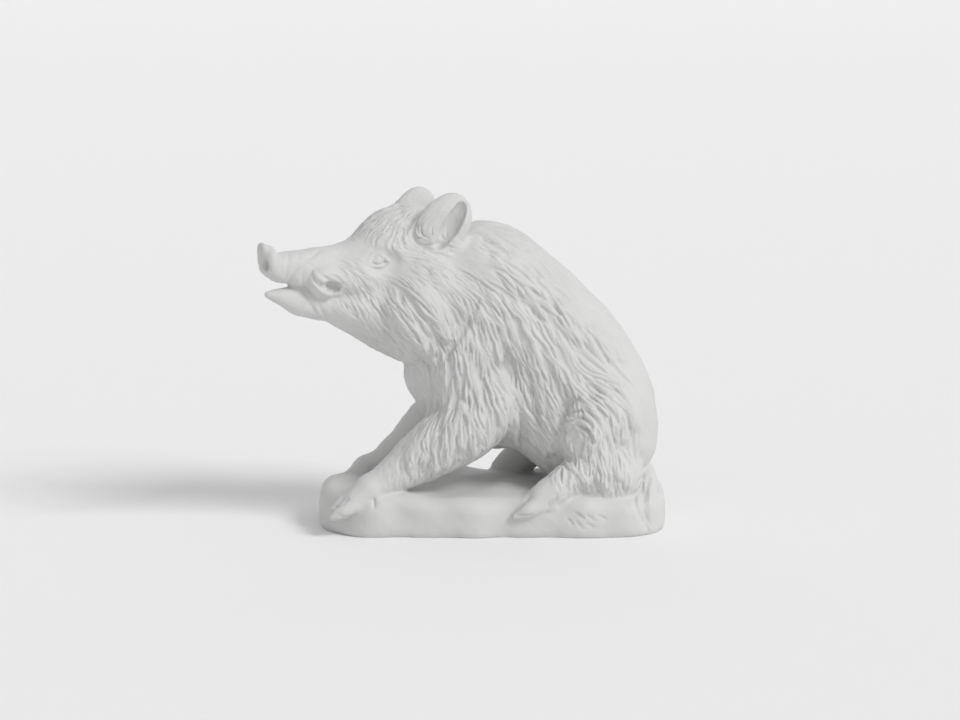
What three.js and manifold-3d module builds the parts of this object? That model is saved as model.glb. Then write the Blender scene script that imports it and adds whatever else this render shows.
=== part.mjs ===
// Seated boar on a low ground slab, one body of white unglazed porcelain.
// Millimetres. +Z is up, the boar looks along -X, and its left side faces -Y.
// The body is a smooth field: rounded masses and curved, tapering limbs that flow into each other.
// Its surface is cut into triangles, and the flat parts are then thinned out.

import * as THREE from 'three';
import { mergeVertices } from 'three/addons/utils/BufferGeometryUtils.js';
import Module from 'manifold-3d';

// Driving dimensions
const SLAB = { length: 158, width: 80, height: 18.6, middle: 13.5, corner: 27, edge: 7.5, sunk: 3.2 };
const HEAD = { pivot: [-10, 0, 126], turn: THREE.MathUtils.degToRad(25) };
const LOCK_RISE = 1.5;
const LOCK_STRIDES = 5;
const COAT_REACH = 9;
const REACH = { from: [-97, -50, -4], to: [95, 50, 162] };
const CELL = 1.35;
const TRIANGLES = 9850;

const SIDES = [1, -1];

// Smooth joins: two distances flow into each other over a width
function blend(a, b, width) {
  const overlap = Math.max(width - Math.abs(a - b), 0) / width;
  return Math.min(a, b) - overlap * overlap * width * 0.25;
}

function carve(a, b, width) {
  return -blend(-a, b, width);
}

// A rounded mass with three radii, tilted back in its own side view and turned about the upright
function ballDistance(centre, radii, tilt, turn) {
  const [ct, st] = [Math.cos(tilt), Math.sin(tilt)];
  const [cu, su] = [Math.cos(turn), Math.sin(turn)];
  const [rx, ry, rz] = radii;
  return (px, py, pz) => {
    const dx = px - centre[0];
    const dy = py - centre[1];
    const dz = pz - centre[2];
    const x1 = dx * cu + dy * su;
    const y = -dx * su + dy * cu;
    const x = x1 * ct + dz * st;
    const z = -x1 * st + dz * ct;
    const near = Math.hypot(x / rx, y / ry, z / rz);
    const slope = Math.hypot(x / (rx * rx), y / (ry * ry), z / (rz * rz));
    return near * (near - 1) / Math.max(slope, 1e-6);
  };
}

// A tapering link between two balls, each x, y, z and radius
function linkDistance(a, b) {
  const length = Math.hypot(b[0] - a[0], b[1] - a[1], b[2] - a[2]);
  const [ux, uy, uz] = [0, 1, 2].map((i) => (b[i] - a[i]) / length);
  const taper = THREE.MathUtils.clamp((b[3] - a[3]) / length, -0.95, 0.95);
  const lean = taper / Math.sqrt(1 - taper * taper);
  return (px, py, pz) => {
    const dx = px - a[0];
    const dy = py - a[1];
    const dz = pz - a[2];
    const along = dx * ux + dy * uy + dz * uz;
    const off = Math.sqrt(Math.max(dx * dx + dy * dy + dz * dz - along * along, 0));
    const t = THREE.MathUtils.clamp((along + off * lean) / length, 0, 1);
    return Math.hypot(off, along - t * length) - (a[3] + (b[3] - a[3]) * t);
  };
}

// Points of a smooth curve through rows of x, y, z and radius
function smoothRows(rows, parts) {
  const curve = (places) => new THREE.CatmullRomCurve3(places, false, 'catmullrom');
  const route = curve(rows.map((r) => new THREE.Vector3(r[0], r[1], r[2])));
  const girth = curve(rows.map((r) => new THREE.Vector3(r[3], 0, 0)));
  const count = (rows.length - 1) * (rows.length > 2 ? parts : 1);
  return Array.from({ length: count + 1 }, (_, i) => {
    const place = route.getPoint(i / count);
    return [place.x, place.y, place.z, girth.getPoint(i / count).x];
  });
}

// Clay holds forms in order; each is added to what is there or cut from it
class Clay {
  constructor() {
    this.forms = [];
  }

  put(distance, low, high, width, cut) {
    const pad = width + (cut ? 3 : 8);
    const box = [...low.map((v) => v - pad), ...high.map((v) => v + pad)];
    this.forms.push({ distance, box, width, cut });
  }

  ball(centre, radii, width, { tilt = 0, turn = 0, cut = false } = {}) {
    const reach = Math.max(...radii);
    const [lean, swing] = [tilt, turn].map(THREE.MathUtils.degToRad);
    const distance = ballDistance(centre, radii, lean, swing);
    this.put(distance, centre.map((v) => v - reach), centre.map((v) => v + reach), width, cut);
  }

  limb(rows, width, { cut = false, parts = 4 } = {}) {
    const points = smoothRows(rows, parts);
    const links = points.slice(1).map((point, i) => linkDistance(points[i], point));
    const low = [0, 1, 2].map((i) => Math.min(...points.map((p) => p[i] - p[3])));
    const high = [0, 1, 2].map((i) => Math.max(...points.map((p) => p[i] + p[3])));
    const distance = (x, y, z) => {
      let nearest = 1e3;
      for (const link of links) nearest = Math.min(nearest, link(x, y, z));
      return nearest;
    };
    this.put(distance, low, high, width, cut);
  }

  at(x, y, z, start = 60) {
    let value = start;
    for (const { distance, box, width, cut } of this.forms) {
      if (x < box[0] || y < box[1] || z < box[2] || x > box[3] || y > box[4] || z > box[5]) continue;
      const own = distance(x, y, z);
      value = cut ? carve(value, own, width) : blend(value, own, width);
    }
    return value;
  }
}

// The ground slab: a rounded block with a gently lumpy top and edge, sunk a little below the table
function slabDistance(x, y, z) {
  const along = THREE.MathUtils.clamp((x - SLAB.middle) / 60, -1, 1);
  const corner = SLAB.corner - 3 * along;
  const halfWidth = SLAB.width / 2 + 0.8 * Math.sin(x * 0.115 + 1.3) + 0.5 * Math.sin(x * 0.26);
  const lump = 0.8 * Math.sin(x * 0.09 + y * 0.07 + 0.6) + 0.5 * Math.sin(x * 0.21 - y * 0.16 + 1.7);
  const qx = Math.abs(x - SLAB.middle) - (SLAB.length / 2 - corner);
  const qy = Math.abs(y) - (halfWidth - corner);
  const plan = Math.hypot(Math.max(qx, 0), Math.max(qy, 0)) + Math.min(Math.max(qx, qy), 0) - corner;
  const top = SLAB.height + lump;
  const depth = Math.abs(z - (top - SLAB.sunk) / 2) - (top + SLAB.sunk) / 2;
  const a = Math.max(plan + SLAB.edge, 0);
  const b = Math.max(depth + SLAB.edge, 0);
  return Math.hypot(a, b) + Math.min(Math.max(plan, depth) + SLAB.edge, 0) - SLAB.edge;
}

// Head, in its own axes: forward to the snout, out to the side, and up from the middle of the eyes
function buildSkull() {
  const skull = new Clay();
  skull.ball([17.5, 0, 2.8], [23, 17.5, 19.6], 4);
  skull.ball([30, 0, 1.0], [15, 15, 12.6], 7, { tilt: -15 });
  skull.ball([41, 0, -9], [14, 14, 11.8], 8);
  skull.limb([[34, 0, -3, 10.8], [50, 0, -3.5, 9.6], [66, 0, -3.0, 7.9], [80, 0, -2.7, 6.8]], 6);
  for (const side of SIDES) {
    skull.limb([[42, side * 7, -8, 8], [56, side * 6, -9.5, 6.2], [70, side * 3.4, -7.5, 4.4]], 5);
  }
  // snout disc and its peaked upper rim
  skull.ball([85.4, 0, 0.5], [4.1, 8.2, 7.1], 1.6);
  skull.ball([88.0, 0, 5.4], [1.9, 4.2, 3.4], 1.4);
  // open lips, then the lower jaw
  skull.limb([[97, 0, -12.3, 5.2], [87, 0, -11.9, 3.4], [79, 0, -11.5, 1.2]], 1, { cut: true });
  skull.limb([[85.6, 0, -14.6, 1.6], [78, 0, -16.4, 4.2], [69, 0, -18.8, 6.8], [54, 0, -19.8, 9.8],
    [42, 0, -22.0, 13.8], [26, 0, -25.8, 18.8], [14, 0, -29, 21.5]], 2.5);
  // cheek ruff
  for (const side of SIDES) {
    skull.ball([12, side * 12, -22], [23, 16.5, 28], 5, { tilt: 12 });
  }
  return skull;
}

const skull = buildSkull();

// How far out to the side the head's surface lies at a place seen from the side
function cheek(forward, up) {
  let side = 34;
  while (side > 0 && skull.at(forward, side, up) > 0) side -= 0.1;
  return side;
}

function onCheek(side, forward, up, lift, radius) {
  return [forward, side * (cheek(forward, up) + lift), up, radius].slice(0, radius === undefined ? 3 : 4);
}

function addMouth(head, side) {
  const on = (...place) => onCheek(side, ...place);
  const slot = [on(73, -11.6, 0.2, 0.85), on(68, -12.2, 0.3, 0.8), on(64.5, -14.2, 0.2, 0.7)];
  head.limb([[80, side * 2.6, -11.3, 1.0], ...slot], 0.8, { cut: true });
  head.ball([89.0, side * 4.1, 0], [3.4, 1.9, 2.3], 0.8, { cut: true });
}

function addTusk(head, side) {
  const on = (...place) => onCheek(side, ...place);
  head.ball(on(59.5, -8.6, -2.2), [8.6, 4.4, 6.0], 1.6);
  head.ball(on(56.8, -9.2, 2.2), [5.2, 3.6, 2.9], 0.9, { cut: true, tilt: -8 });
  head.limb([on(65.5, -9.2, 1.2, 1.3), on(63, -8.0, 2.0, 2.1), on(59, -6.8, 1.6, 1.2)], 0.7);
}

function addEye(head, side) {
  const on = (...place) => onCheek(side, ...place);
  head.ball(on(38, 0.2, 1.7), [8.0, 3.2, 5.2], 3, { cut: true });
  head.ball(on(38.3, 0.2, -2.0), [3.8, 3.0, 2.8], 0.6);
  head.limb([on(42.9, -0.2, -0.9, 0.6), on(40.6, 2.2, -0.5, 0.8), on(37.2, 2.9, -0.4, 0.9),
    on(33.4, 0.4, -0.6, 0.6)], 0.8);
  head.limb([on(42.6, -0.6, -0.9, 0.6), on(39.6, -2.0, -0.7, 0.8), on(36, -2.3, -0.7, 0.7),
    on(33.6, -0.4, -0.9, 0.5)], 0.8);
}

function addEar(head, side) {
  const drop = side > 0 ? 0 : 1.8;
  const lean = { tilt: 34, turn: -side * 12 };
  head.ball([7.2, side * 17.4, 14.2 - drop], [11.8, 5.4, 16.1], 3, lean);
  head.ball([2.4, side * 22.2, 17 - drop], [5.0, 4.4, 11.4], 1, { ...lean, cut: true });
}

function buildHead() {
  const head = buildSkull();
  for (const side of SIDES) {
    addMouth(head, side);
    addTusk(head, side);
    addEye(head, side);
    addEar(head, side);
  }
  return head;
}

function buildTrunk() {
  const trunk = new Clay();
  // back from neck to rump, then chest and belly
  trunk.limb([[-6, 0, 106, 26], [8, 0, 112.5, 26.8], [20, 0, 104.5, 27.2], [39.3, 0, 84.5, 29.2],
    [50.3, 0, 69, 30.4], [57.5, 0, 53, 31.2], [58, 0, 45, 29.8]], 8);
  trunk.limb([[-4, 0, 71, 23], [6, 0, 61, 24.5], [28, 0, 60, 26], [45, 0, 56, 26]], 10);
  for (const side of SIDES) {
    const out = -side;
    trunk.ball([3, out * 15, 80], [20, 15.5, 34], 5, { tilt: -8 });
    trunk.ball([65, out * 15, 50], [23.5, 18, 31], 5, { tilt: 15 });
    trunk.ball([57.5, out * 27, 46], [14, 11, 17.5], 3, { tilt: 8 });
    trunk.ball([64, out * 26.5, 26], [17.5, 11.5, 15], 4);
  }
  return trunk;
}

function addLegs(trunk) {
  // near foreleg, far foreleg, far hind leg
  trunk.limb([[12, -20, 58, 15.5], [0, -22, 47, 15], [-15, -24.5, 37.5, 12.6], [-30, -28, 27.8, 8.6],
    [-42, -31, 21.6, 6.0]], 5);
  trunk.limb([[8, 18, 58, 14], [-12, 18, 46.5, 11.2], [-25, 18.5, 35, 8.2], [-36, 20.5, 25.8, 5.9],
    [-45.6, 22, 20.8, 4.6]], 5);
  trunk.limb([[48, 22, 38, 13], [36, 26, 32, 10.5], [26.5, 28.5, 25.5, 7.4], [17.5, 30, 19.6, 4.2]], 4);
}

// Two toes side by side below a fetlock, with two small dewclaws behind
function addFoot(clay, fetlock, knuckle, tip, spread, girth) {
  const [ankle, joint, end, gap] = [fetlock, knuckle, tip, spread].map((v) => new THREE.Vector3(...v));
  const row = (place, radius) => [...place.toArray(), radius];
  clay.limb([row(ankle, girth * 1.15), row(joint, girth)], 2);
  for (const side of SIDES) {
    const root = joint.clone().addScaledVector(gap, side * 0.55);
    const middle = joint.clone().lerp(end, 0.5).addScaledVector(gap, side * 0.75);
    const point = end.clone().addScaledVector(gap, side * 0.55);
    clay.limb([row(root, girth * 0.72), row(middle, girth * 0.62), row(point, girth * 0.28)], 1);
    const claw = ankle.clone().addScaledVector(gap, side * 1.25);
    claw.z -= girth * 0.5;
    const clawEnd = claw.clone().addScaledVector(joint.clone().sub(ankle), 0.3);
    clay.limb([row(claw, girth * 0.34), row(clawEnd, girth * 0.24)], 0.8);
  }
}

function buildFeetAndTail() {
  const feet = new Clay();
  addFoot(feet, [-42, -31.5, 20.8], [-48.5, -34, 16.6], [-58.5, -37.5, 11.2], [0.6, 3.6, 2.4], 5.6);
  addFoot(feet, [-44, 22, 21], [-47.5, 23, 19.2], [-54, 25, 16.5], [0.8, 3, 0.5], 4.6);
  feet.limb([[54, -29, 28, 9], [48, -32, 25, 8.2], [40, -34.5, 20.5, 6.6]], 1.5);
  addFoot(feet, [42, -34.5, 20.8], [36, -36.2, 18], [24.5, -39, 12], [0.8, 3.2, 2.6], 6);
  addFoot(feet, [29, 28.5, 23.5], [23, 29.5, 20.6], [13.5, 30.5, 17.6], [0.8, 3.2, 0.5], 5);
  // tail
  feet.limb([[78, -3, 31, 3], [82.6, -11, 27.5, 4], [84, -20, 22.5, 4.6], [84, -27.5, 13, 4.2],
    [84, -32, 3, 1.5]], 1.5);
  return feet;
}

const head = buildHead();
const trunk = buildTrunk();
addLegs(trunk);
const feet = buildFeetAndTail();

function smoothBoar(x, y, z) {
  const dx = x - HEAD.pivot[0];
  const dy = y - HEAD.pivot[1];
  const forward = -dx * Math.cos(HEAD.turn) - dy * Math.sin(HEAD.turn);
  const side = dx * Math.sin(HEAD.turn) - dy * Math.cos(HEAD.turn);
  let value = blend(trunk.at(x, y, z), head.at(forward, side, z - HEAD.pivot[2]), 4);
  value = blend(value, slabDistance(x, y, z), 2);
  return feet.at(x, y, z, value);
}

// The way the coat lies, seen from the side: a place and the direction of the hair there
const COAT = [
  [-37, 141, 0.65, 0.76], [-24, 130, 0.9, -0.3], [-33, 112, 0.56, -0.83], [-15, 107, 0.55, -0.83],
  [-1, 118, 0.7, -0.7], [-28, 93, 0.72, -0.7], [-15, 84, 0.45, -0.9], [8, 122, 0.5, -0.86],
  [8, 90, 0.22, -0.97], [-10, 60, 0.08, -1], [-15, 42, -0.05, -1], [8, 47, 0.12, -1],
  [30, 90, 0.42, -0.91], [30, 47, 0.35, -0.93], [35, 118, 0.6, -0.8], [62, 92, 0.6, -0.8],
  [62, 72, 0.8, -0.6], [74, 60, 0.4, -0.92], [44, 50, -0.1, -1], [76, 45, 0.1, -1], [62, 28, 0.15, -0.98],
];

function coatWay(x, z) {
  let [wayX, wayZ] = [0, 0];
  for (const [px, pz, dx, dz] of COAT) {
    const weight = Math.exp(-((x - px) ** 2 + (z - pz) ** 2) / (2 * COAT_REACH ** 2));
    wayX += weight * dx;
    wayZ += weight * dz;
  }
  const size = Math.hypot(wayX, wayZ) + 1e-9;
  return [wayX / size, wayZ / size];
}

function slopeAt(x, y, z) {
  const h = 0.6;
  const slope = new THREE.Vector3(
    smoothBoar(x + h, y, z) - smoothBoar(x - h, y, z),
    smoothBoar(x, y + h, z) - smoothBoar(x, y - h, z),
    smoothBoar(x, y, z + h) - smoothBoar(x, y, z - h),
  );
  return slope.normalize();
}

// Rows of locks: the roots run from one place to another, seen from the side,
// then how many locks, how long and how wide
const FRINGES = {
  ruff: { from: [-5, 124], to: [-34, 100], count: 6, length: 26, girth: 3.6 },
  mane: { from: [13, 130], to: [64, 88], count: 8, length: 19, girth: 3.2 },
  throat: { from: [-20, 76], to: [0, 84], count: 4, length: 22, girth: 3.2 },
  shoulder: { from: [6, 108], to: [26, 100], count: 4, length: 26, girth: 3.6 },
  flank: { from: [22, 78], to: [46, 74], count: 4, length: 25, girth: 3.6 },
  elbow: { from: [-8, 58], to: [12, 56], count: 4, length: 18, girth: 3.2 },
  foreleg: { from: [-24, 46], to: [-4, 42], count: 4, length: 11, girth: 2.6 },
  belly: { from: [22, 54], to: [40, 50], count: 4, length: 15, girth: 3.0 },
  thigh: { from: [50, 66], to: [72, 66], count: 4, length: 21, girth: 3.4 },
  shank: { from: [52, 40], to: [74, 38], count: 5, length: 13, girth: 2.8 },
};

// One lock of the coat, laid on the surface along the coat's way
function layLock(coat, x, z, side, { length, girth }) {
  const place = new THREE.Vector3(x, side * 60, z);
  while (side * place.y > 0 && smoothBoar(place.x, place.y, place.z) > 0) place.y -= side * 0.5;
  const rows = [];
  for (let i = 0; i <= LOCK_STRIDES; i += 1) {
    const out = slopeAt(place.x, place.y, place.z);
    place.addScaledVector(out, -smoothBoar(place.x, place.y, place.z));
    const share = i / LOCK_STRIDES;
    const radius = girth * (0.25 + 0.75 * Math.sin(Math.PI * (0.12 + 0.83 * share)));
    const lift = LOCK_RISE * (0.3 + 0.7 * share) - radius;
    rows.push([...place.clone().addScaledVector(out, lift).toArray(), radius]);
    const [wayX, wayZ] = coatWay(place.x, place.z);
    const way = new THREE.Vector3(wayX, 0, wayZ);
    way.addScaledVector(out, -way.dot(out)).normalize();
    place.addScaledVector(way, length / LOCK_STRIDES);
  }
  coat.limb(rows, 0.8, { parts: 2 });
}

function buildCoat() {
  const coat = new Clay();
  for (const side of SIDES) {
    for (const fringe of Object.values(FRINGES)) {
      for (let i = 0; i < fringe.count; i += 1) {
        const share = (i + 0.5) / fringe.count;
        const x = fringe.from[0] + (fringe.to[0] - fringe.from[0]) * share;
        const z = fringe.from[1] + (fringe.to[1] - fringe.from[1]) * share + (i % 2 ? 2 : -2);
        layLock(coat, x, z, side, fringe);
      }
    }
  }
  return coat;
}

const coat = buildCoat();

function boar(x, y, z) {
  return coat.at(x, y, z, smoothBoar(x, y, z));
}

// Surface of a field: each cell is split into six tetrahedra around its long diagonal
const CORNER_ORDERS = [[1, 3], [3, 2], [2, 6], [6, 4], [4, 5], [5, 1]];

function surfaceOf(field) {
  const counts = [0, 1, 2].map((i) => Math.ceil((REACH.to[i] - REACH.from[i]) / CELL) + 1);
  const [nx, ny, nz] = counts;
  const at = (i, j, k) => (i * ny + j) * nz + k;
  const values = new Float64Array(nx * ny * nz);
  for (let i = 0; i < nx; i += 1) {
    for (let j = 0; j < ny; j += 1) {
      for (let k = 0; k < nz; k += 1) {
        const value = field(REACH.from[0] + i * CELL, REACH.from[1] + j * CELL, REACH.from[2] + k * CELL);
        values[at(i, j, k)] = Math.abs(value) < 1e-4 ? 1e-4 : value;
      }
    }
  }
  const steps = Array.from({ length: 8 }, (_, bits) => at(bits & 1, (bits >> 1) & 1, (bits >> 2) & 1));
  const places = [];
  const triangles = [];
  const known = new Map();
  const placeOf = (index) => [Math.floor(index / (ny * nz)), Math.floor(index / nz) % ny, index % nz];
  const crossing = (a, b) => {
    const key = Math.min(a, b) * values.length + Math.max(a, b);
    if (!known.has(key)) {
      const share = values[a] / (values[a] - values[b]);
      const [from, to] = [placeOf(a), placeOf(b)];
      known.set(key, places.length);
      places.push(from.map((v, i) => REACH.from[i] + CELL * (v + (to[i] - v) * share)));
    }
    return known.get(key);
  };
  const cutTetrahedron = (corners) => {
    const inside = corners.filter((c) => values[c] < 0);
    const outside = corners.filter((c) => values[c] >= 0);
    if (inside.length === 0 || outside.length === 0) return;
    const [p, q, r, s] = corners.map(placeOf);
    const [u, v, w] = [q, r, s].map((c) => c.map((value, i) => value - p[i]));
    const volume = u[0] * (v[1] * w[2] - v[2] * w[1]) - u[1] * (v[0] * w[2] - v[2] * w[0])
      + u[2] * (v[0] * w[1] - v[1] * w[0]);
    const order = [...inside, ...outside].map((c) => corners.indexOf(c));
    let swaps = 0;
    for (let a = 0; a < 4; a += 1) {
      for (let b = a + 1; b < 4; b += 1) swaps += order[a] > order[b] ? 1 : 0;
    }
    const flip = (volume > 0) !== (swaps % 2 === 0);
    const add = (a, b, c) => triangles.push(flip ? [a, c, b] : [a, b, c]);
    if (inside.length === 1) {
      const [a] = inside;
      const [b, c, d] = outside.map((o) => crossing(a, o));
      add(b, c, d);
    } else if (inside.length === 3) {
      const [d] = outside;
      const [a, b, c] = inside.map((o) => crossing(o, d));
      add(a, b, c);
    } else {
      const [a, b] = inside;
      const [c, d] = outside;
      const ring = [crossing(a, c), crossing(a, d), crossing(b, d), crossing(b, c)];
      add(ring[0], ring[1], ring[2]);
      add(ring[0], ring[2], ring[3]);
    }
  };
  for (let i = 0; i < nx - 1; i += 1) {
    for (let j = 0; j < ny - 1; j += 1) {
      for (let k = 0; k < nz - 1; k += 1) {
        const base = at(i, j, k);
        let below = 0;
        for (const step of steps) if (values[base + step] < 0) below += 1;
        if (below === 0 || below === 8) continue;
        for (const [a, b] of CORNER_ORDERS) {
          cutTetrahedron([base, base + steps[a], base + steps[b], base + steps[7]]);
        }
      }
    }
  }
  return { places, triangles };
}

// A heap that gives the cheapest entry first
class Heap {
  constructor() {
    this.items = [];
  }

  push(item) {
    const { items } = this;
    let i = items.length;
    items.push(item);
    while (i > 0) {
      const up = (i - 1) >> 1;
      if (items[up].cost <= items[i].cost) break;
      [items[up], items[i]] = [items[i], items[up]];
      i = up;
    }
  }

  pop() {
    const { items } = this;
    const first = items[0];
    const last = items.pop();
    if (items.length > 0) {
      items[0] = last;
      let i = 0;
      for (;;) {
        const left = 2 * i + 1;
        if (left >= items.length) break;
        const child = left + 1 < items.length && items[left + 1].cost < items[left].cost ? left + 1 : left;
        if (items[i].cost <= items[child].cost) break;
        [items[child], items[i]] = [items[i], items[child]];
        i = child;
      }
    }
    return first;
  }
}

function planeOf(a, b, c) {
  const u = [b[0] - a[0], b[1] - a[1], b[2] - a[2]];
  const v = [c[0] - a[0], c[1] - a[1], c[2] - a[2]];
  return [u[1] * v[2] - u[2] * v[1], u[2] * v[0] - u[0] * v[2], u[0] * v[1] - u[1] * v[0]];
}

// Small forms matter more than their area says: the face most, then the ears and the feet
function careAt(x, y, z) {
  const face = Math.hypot((x + 72) / 26, (z - 124) / 20);
  const ears = Math.hypot((x + 12) / 22, (z - 144) / 16);
  const toes = Math.min(Math.hypot(x + 50, z - 15), Math.hypot(x - 32, z - 17)) / 14;
  return 1 + 14 * Math.exp(-(face ** 4)) + 4 * Math.exp(-(ears ** 4)) + 5 * Math.exp(-(toes ** 4));
}

// Thins a closed surface to a number of triangles; each step merges the two ends of the edge
// whose loss moves the surface least, and keeps the surface closed and unfolded
function thin({ places, triangles }, target) {
  const errors = places.map(() => new Float64Array(10));
  const around = places.map(() => new Set());
  triangles.forEach((triangle, index) => {
    const [a, b, c] = triangle.map((v) => places[v]);
    const across = planeOf(a, b, c);
    const size = Math.hypot(...across) + 1e-12;
    const [x, y, z] = across.map((v) => v / size);
    const w = -(x * a[0] + y * a[1] + z * a[2]);
    const terms = [x * x, x * y, x * z, x * w, y * y, y * z, y * w, z * z, z * w, w * w];
    const care = size * careAt(...a);
    for (const v of triangle) {
      around[v].add(index);
      terms.forEach((term, i) => { errors[v][i] += term * care; });
    }
  });
  const errorAt = (q, [x, y, z]) => q[0] * x * x + 2 * q[1] * x * y + 2 * q[2] * x * z + 2 * q[3] * x
    + q[4] * y * y + 2 * q[5] * y * z + 2 * q[6] * y + q[7] * z * z + 2 * q[8] * z + q[9];
  const bestPlace = (q, a, b) => {
    const middle = a.map((v, i) => (v + b[i]) / 2);
    const system = new THREE.Matrix3().set(q[0], q[1], q[2], q[1], q[4], q[5], q[2], q[5], q[7]);
    const determinant = system.determinant();
    const span = Math.hypot(a[0] - b[0], a[1] - b[1], a[2] - b[2]);
    const choices = [middle, a, b];
    if (Math.abs(determinant) > 1e-6) {
      const solved = new THREE.Vector3(-q[3], -q[6], -q[8]).applyMatrix3(system.invert()).toArray();
      if (Math.hypot(...solved.map((v, i) => v - middle[i])) < 2 * span) choices.unshift(solved);
    }
    return choices.reduce((best, place) => (errorAt(q, place) < errorAt(q, best) ? place : best));
  };
  const stamps = new Int32Array(places.length);
  const heap = new Heap();
  const offer = (a, b) => {
    const total = errors[a].map((v, i) => v + errors[b][i]);
    const place = bestPlace(total, places[a], places[b]);
    const span = Math.hypot(...places[a].map((v, i) => v - places[b][i]));
    const cost = Math.max(errorAt(total, place), 0) + 1e-5 * span * span;
    heap.push({ a, b, place, cost, stamp: stamps[a] + stamps[b] });
  };
  const neighbours = (v) => {
    const found = new Set();
    for (const index of around[v]) for (const other of triangles[index]) if (other !== v) found.add(other);
    return found;
  };
  places.forEach((_, v) => { for (const other of neighbours(v)) if (v < other) offer(v, other); });
  const folds = (v, other, place) => {
    for (const index of around[v]) {
      const triangle = triangles[index];
      if (triangle.includes(other)) continue;
      const before = planeOf(...triangle.map((c) => places[c]));
      const after = planeOf(...triangle.map((c) => (c === v ? place : places[c])));
      const dot = before[0] * after[0] + before[1] * after[1] + before[2] * after[2];
      const size = Math.hypot(...after);
      if (size < 0.02 || dot < 0.35 * Math.hypot(...before) * size) return true;
    }
    return false;
  };
  let left = triangles.length;
  while (left > target && heap.items.length > 0) {
    const { a, b, place, stamp } = heap.pop();
    if (!around[a].size || !around[b].size || stamp !== stamps[a] + stamps[b]) continue;
    const [nearA, nearB] = [neighbours(a), neighbours(b)];
    if (!nearA.has(b)) continue;
    const shared = [...nearA].filter((v) => nearB.has(v));
    if (shared.length !== 2 || folds(a, b, place) || folds(b, a, place)) continue;
    places[a] = place;
    errors[a] = errors[a].map((v, i) => v + errors[b][i]);
    for (const index of [...around[b]]) {
      const triangle = triangles[index];
      if (triangle.includes(a)) {
        for (const v of triangle) around[v].delete(index);
        left -= 1;
      } else {
        triangle[triangle.indexOf(b)] = a;
        around[a].add(index);
      }
    }
    around[b].clear();
    stamps[a] += 1;
    for (const v of neighbours(a)) offer(a, v);
  }
  const kept = new Set();
  around.forEach((set) => { for (const index of set) kept.add(index); });
  return { places, triangles: [...kept].map((index) => triangles[index]) };
}

function geometryOf({ places, triangles }) {
  const geometry = new THREE.BufferGeometry();
  const corners = triangles.flatMap((triangle) => triangle.flatMap((v) => places[v]));
  geometry.setAttribute('position', new THREE.Float32BufferAttribute(corners, 3));
  return mergeVertices(geometry, 1e-6);
}

const wasm = await Module();
wasm.setup();

function solidOf(geometry) {
  const bare = geometry.clone();
  for (const name of Object.keys(bare.attributes)) if (name !== 'position') bare.deleteAttribute(name);
  const merged = mergeVertices(bare, 1e-6);
  return new wasm.Manifold(new wasm.Mesh({
    numProp: 3,
    vertProperties: new Float32Array(merged.attributes.position.array),
    triVerts: new Uint32Array(merged.index.array),
  }));
}

// The underside is cut flat at the table
function cutAtTable(geometry) {
  const below = new THREE.BoxGeometry(2 * SLAB.length, 2 * SLAB.length, 2 * SLAB.height);
  below.translate(0, 0, -SLAB.height);
  const { vertProperties, triVerts } = solidOf(geometry).subtract(solidOf(below)).getMesh();
  const flat = new THREE.BufferGeometry();
  flat.setAttribute('position', new THREE.Float32BufferAttribute(vertProperties, 3));
  flat.setIndex([...triVerts]);
  return flat;
}

const porcelain = new THREE.MeshStandardMaterial({ color: 0xe6e5e2, roughness: 0.72, metalness: 0 });
const figure = new THREE.Mesh(cutAtTable(geometryOf(thin(surfaceOf(boar), TRIANGLES))), porcelain);
figure.name = 'boar_on_plinth';
figure.geometry.computeVertexNormals();

const group = new THREE.Group();
group.add(figure);

export default group;
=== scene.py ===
# Seated boar in white unglazed porcelain: the fine coat, the face and the finish.
# The form is worked out in millimetres and handed to Blender in metres.
# The boar looks along -X, its left side faces -Y, and +Z is up.
from math import cos, pi, radians, sin

import bpy
import numpy as np
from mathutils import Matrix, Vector


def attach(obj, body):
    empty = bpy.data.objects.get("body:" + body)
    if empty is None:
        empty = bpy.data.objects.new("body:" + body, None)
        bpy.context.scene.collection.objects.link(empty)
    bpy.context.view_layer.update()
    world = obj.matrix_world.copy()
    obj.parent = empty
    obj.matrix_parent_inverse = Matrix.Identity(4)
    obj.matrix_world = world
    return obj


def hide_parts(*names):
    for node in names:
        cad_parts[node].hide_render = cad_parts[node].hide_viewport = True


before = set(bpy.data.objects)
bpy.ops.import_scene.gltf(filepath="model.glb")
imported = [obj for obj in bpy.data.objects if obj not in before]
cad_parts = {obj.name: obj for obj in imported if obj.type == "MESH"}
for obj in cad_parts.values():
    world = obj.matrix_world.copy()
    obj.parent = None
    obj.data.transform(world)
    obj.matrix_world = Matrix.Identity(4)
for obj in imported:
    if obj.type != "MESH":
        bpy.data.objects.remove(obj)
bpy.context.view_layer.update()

# Driving dimensions, as in the solid
SLAB = dict(length=158, width=80, height=18.6, middle=13.5, corner=27, edge=7.5, sunk=3.2)
HEAD_PIVOT = np.array([-10.0, 0.0, 126.0])
HEAD_TURN = radians(25)
LOCK_RISE = 1.5
LOCK_STRIDES = 5
COAT_REACH = 9
SIDES = (1, -1)

# The large locks flow into the body over a greater width than in the solid
LOCK_FLOW = 3.6

# The mesh: the box it fills, its first cell, and how many triangles stay after thinning
REACH_LOW = np.array([-97.0, -50.0, -4.0])
REACH_HIGH = np.array([95.0, 50.0, 162.0])
CELL = 1.35
TRIANGLES = 194000
TABLE_TOP = 0.0

# Folds that thinning leaves: how often they are evened out, the cosine between two triangles that
# counts as a fold, and how far a place may move, in metres
FOLD_ROUNDS = 12
FOLD_LIMIT = -0.2
FOLD_REACH = 0.001

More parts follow.
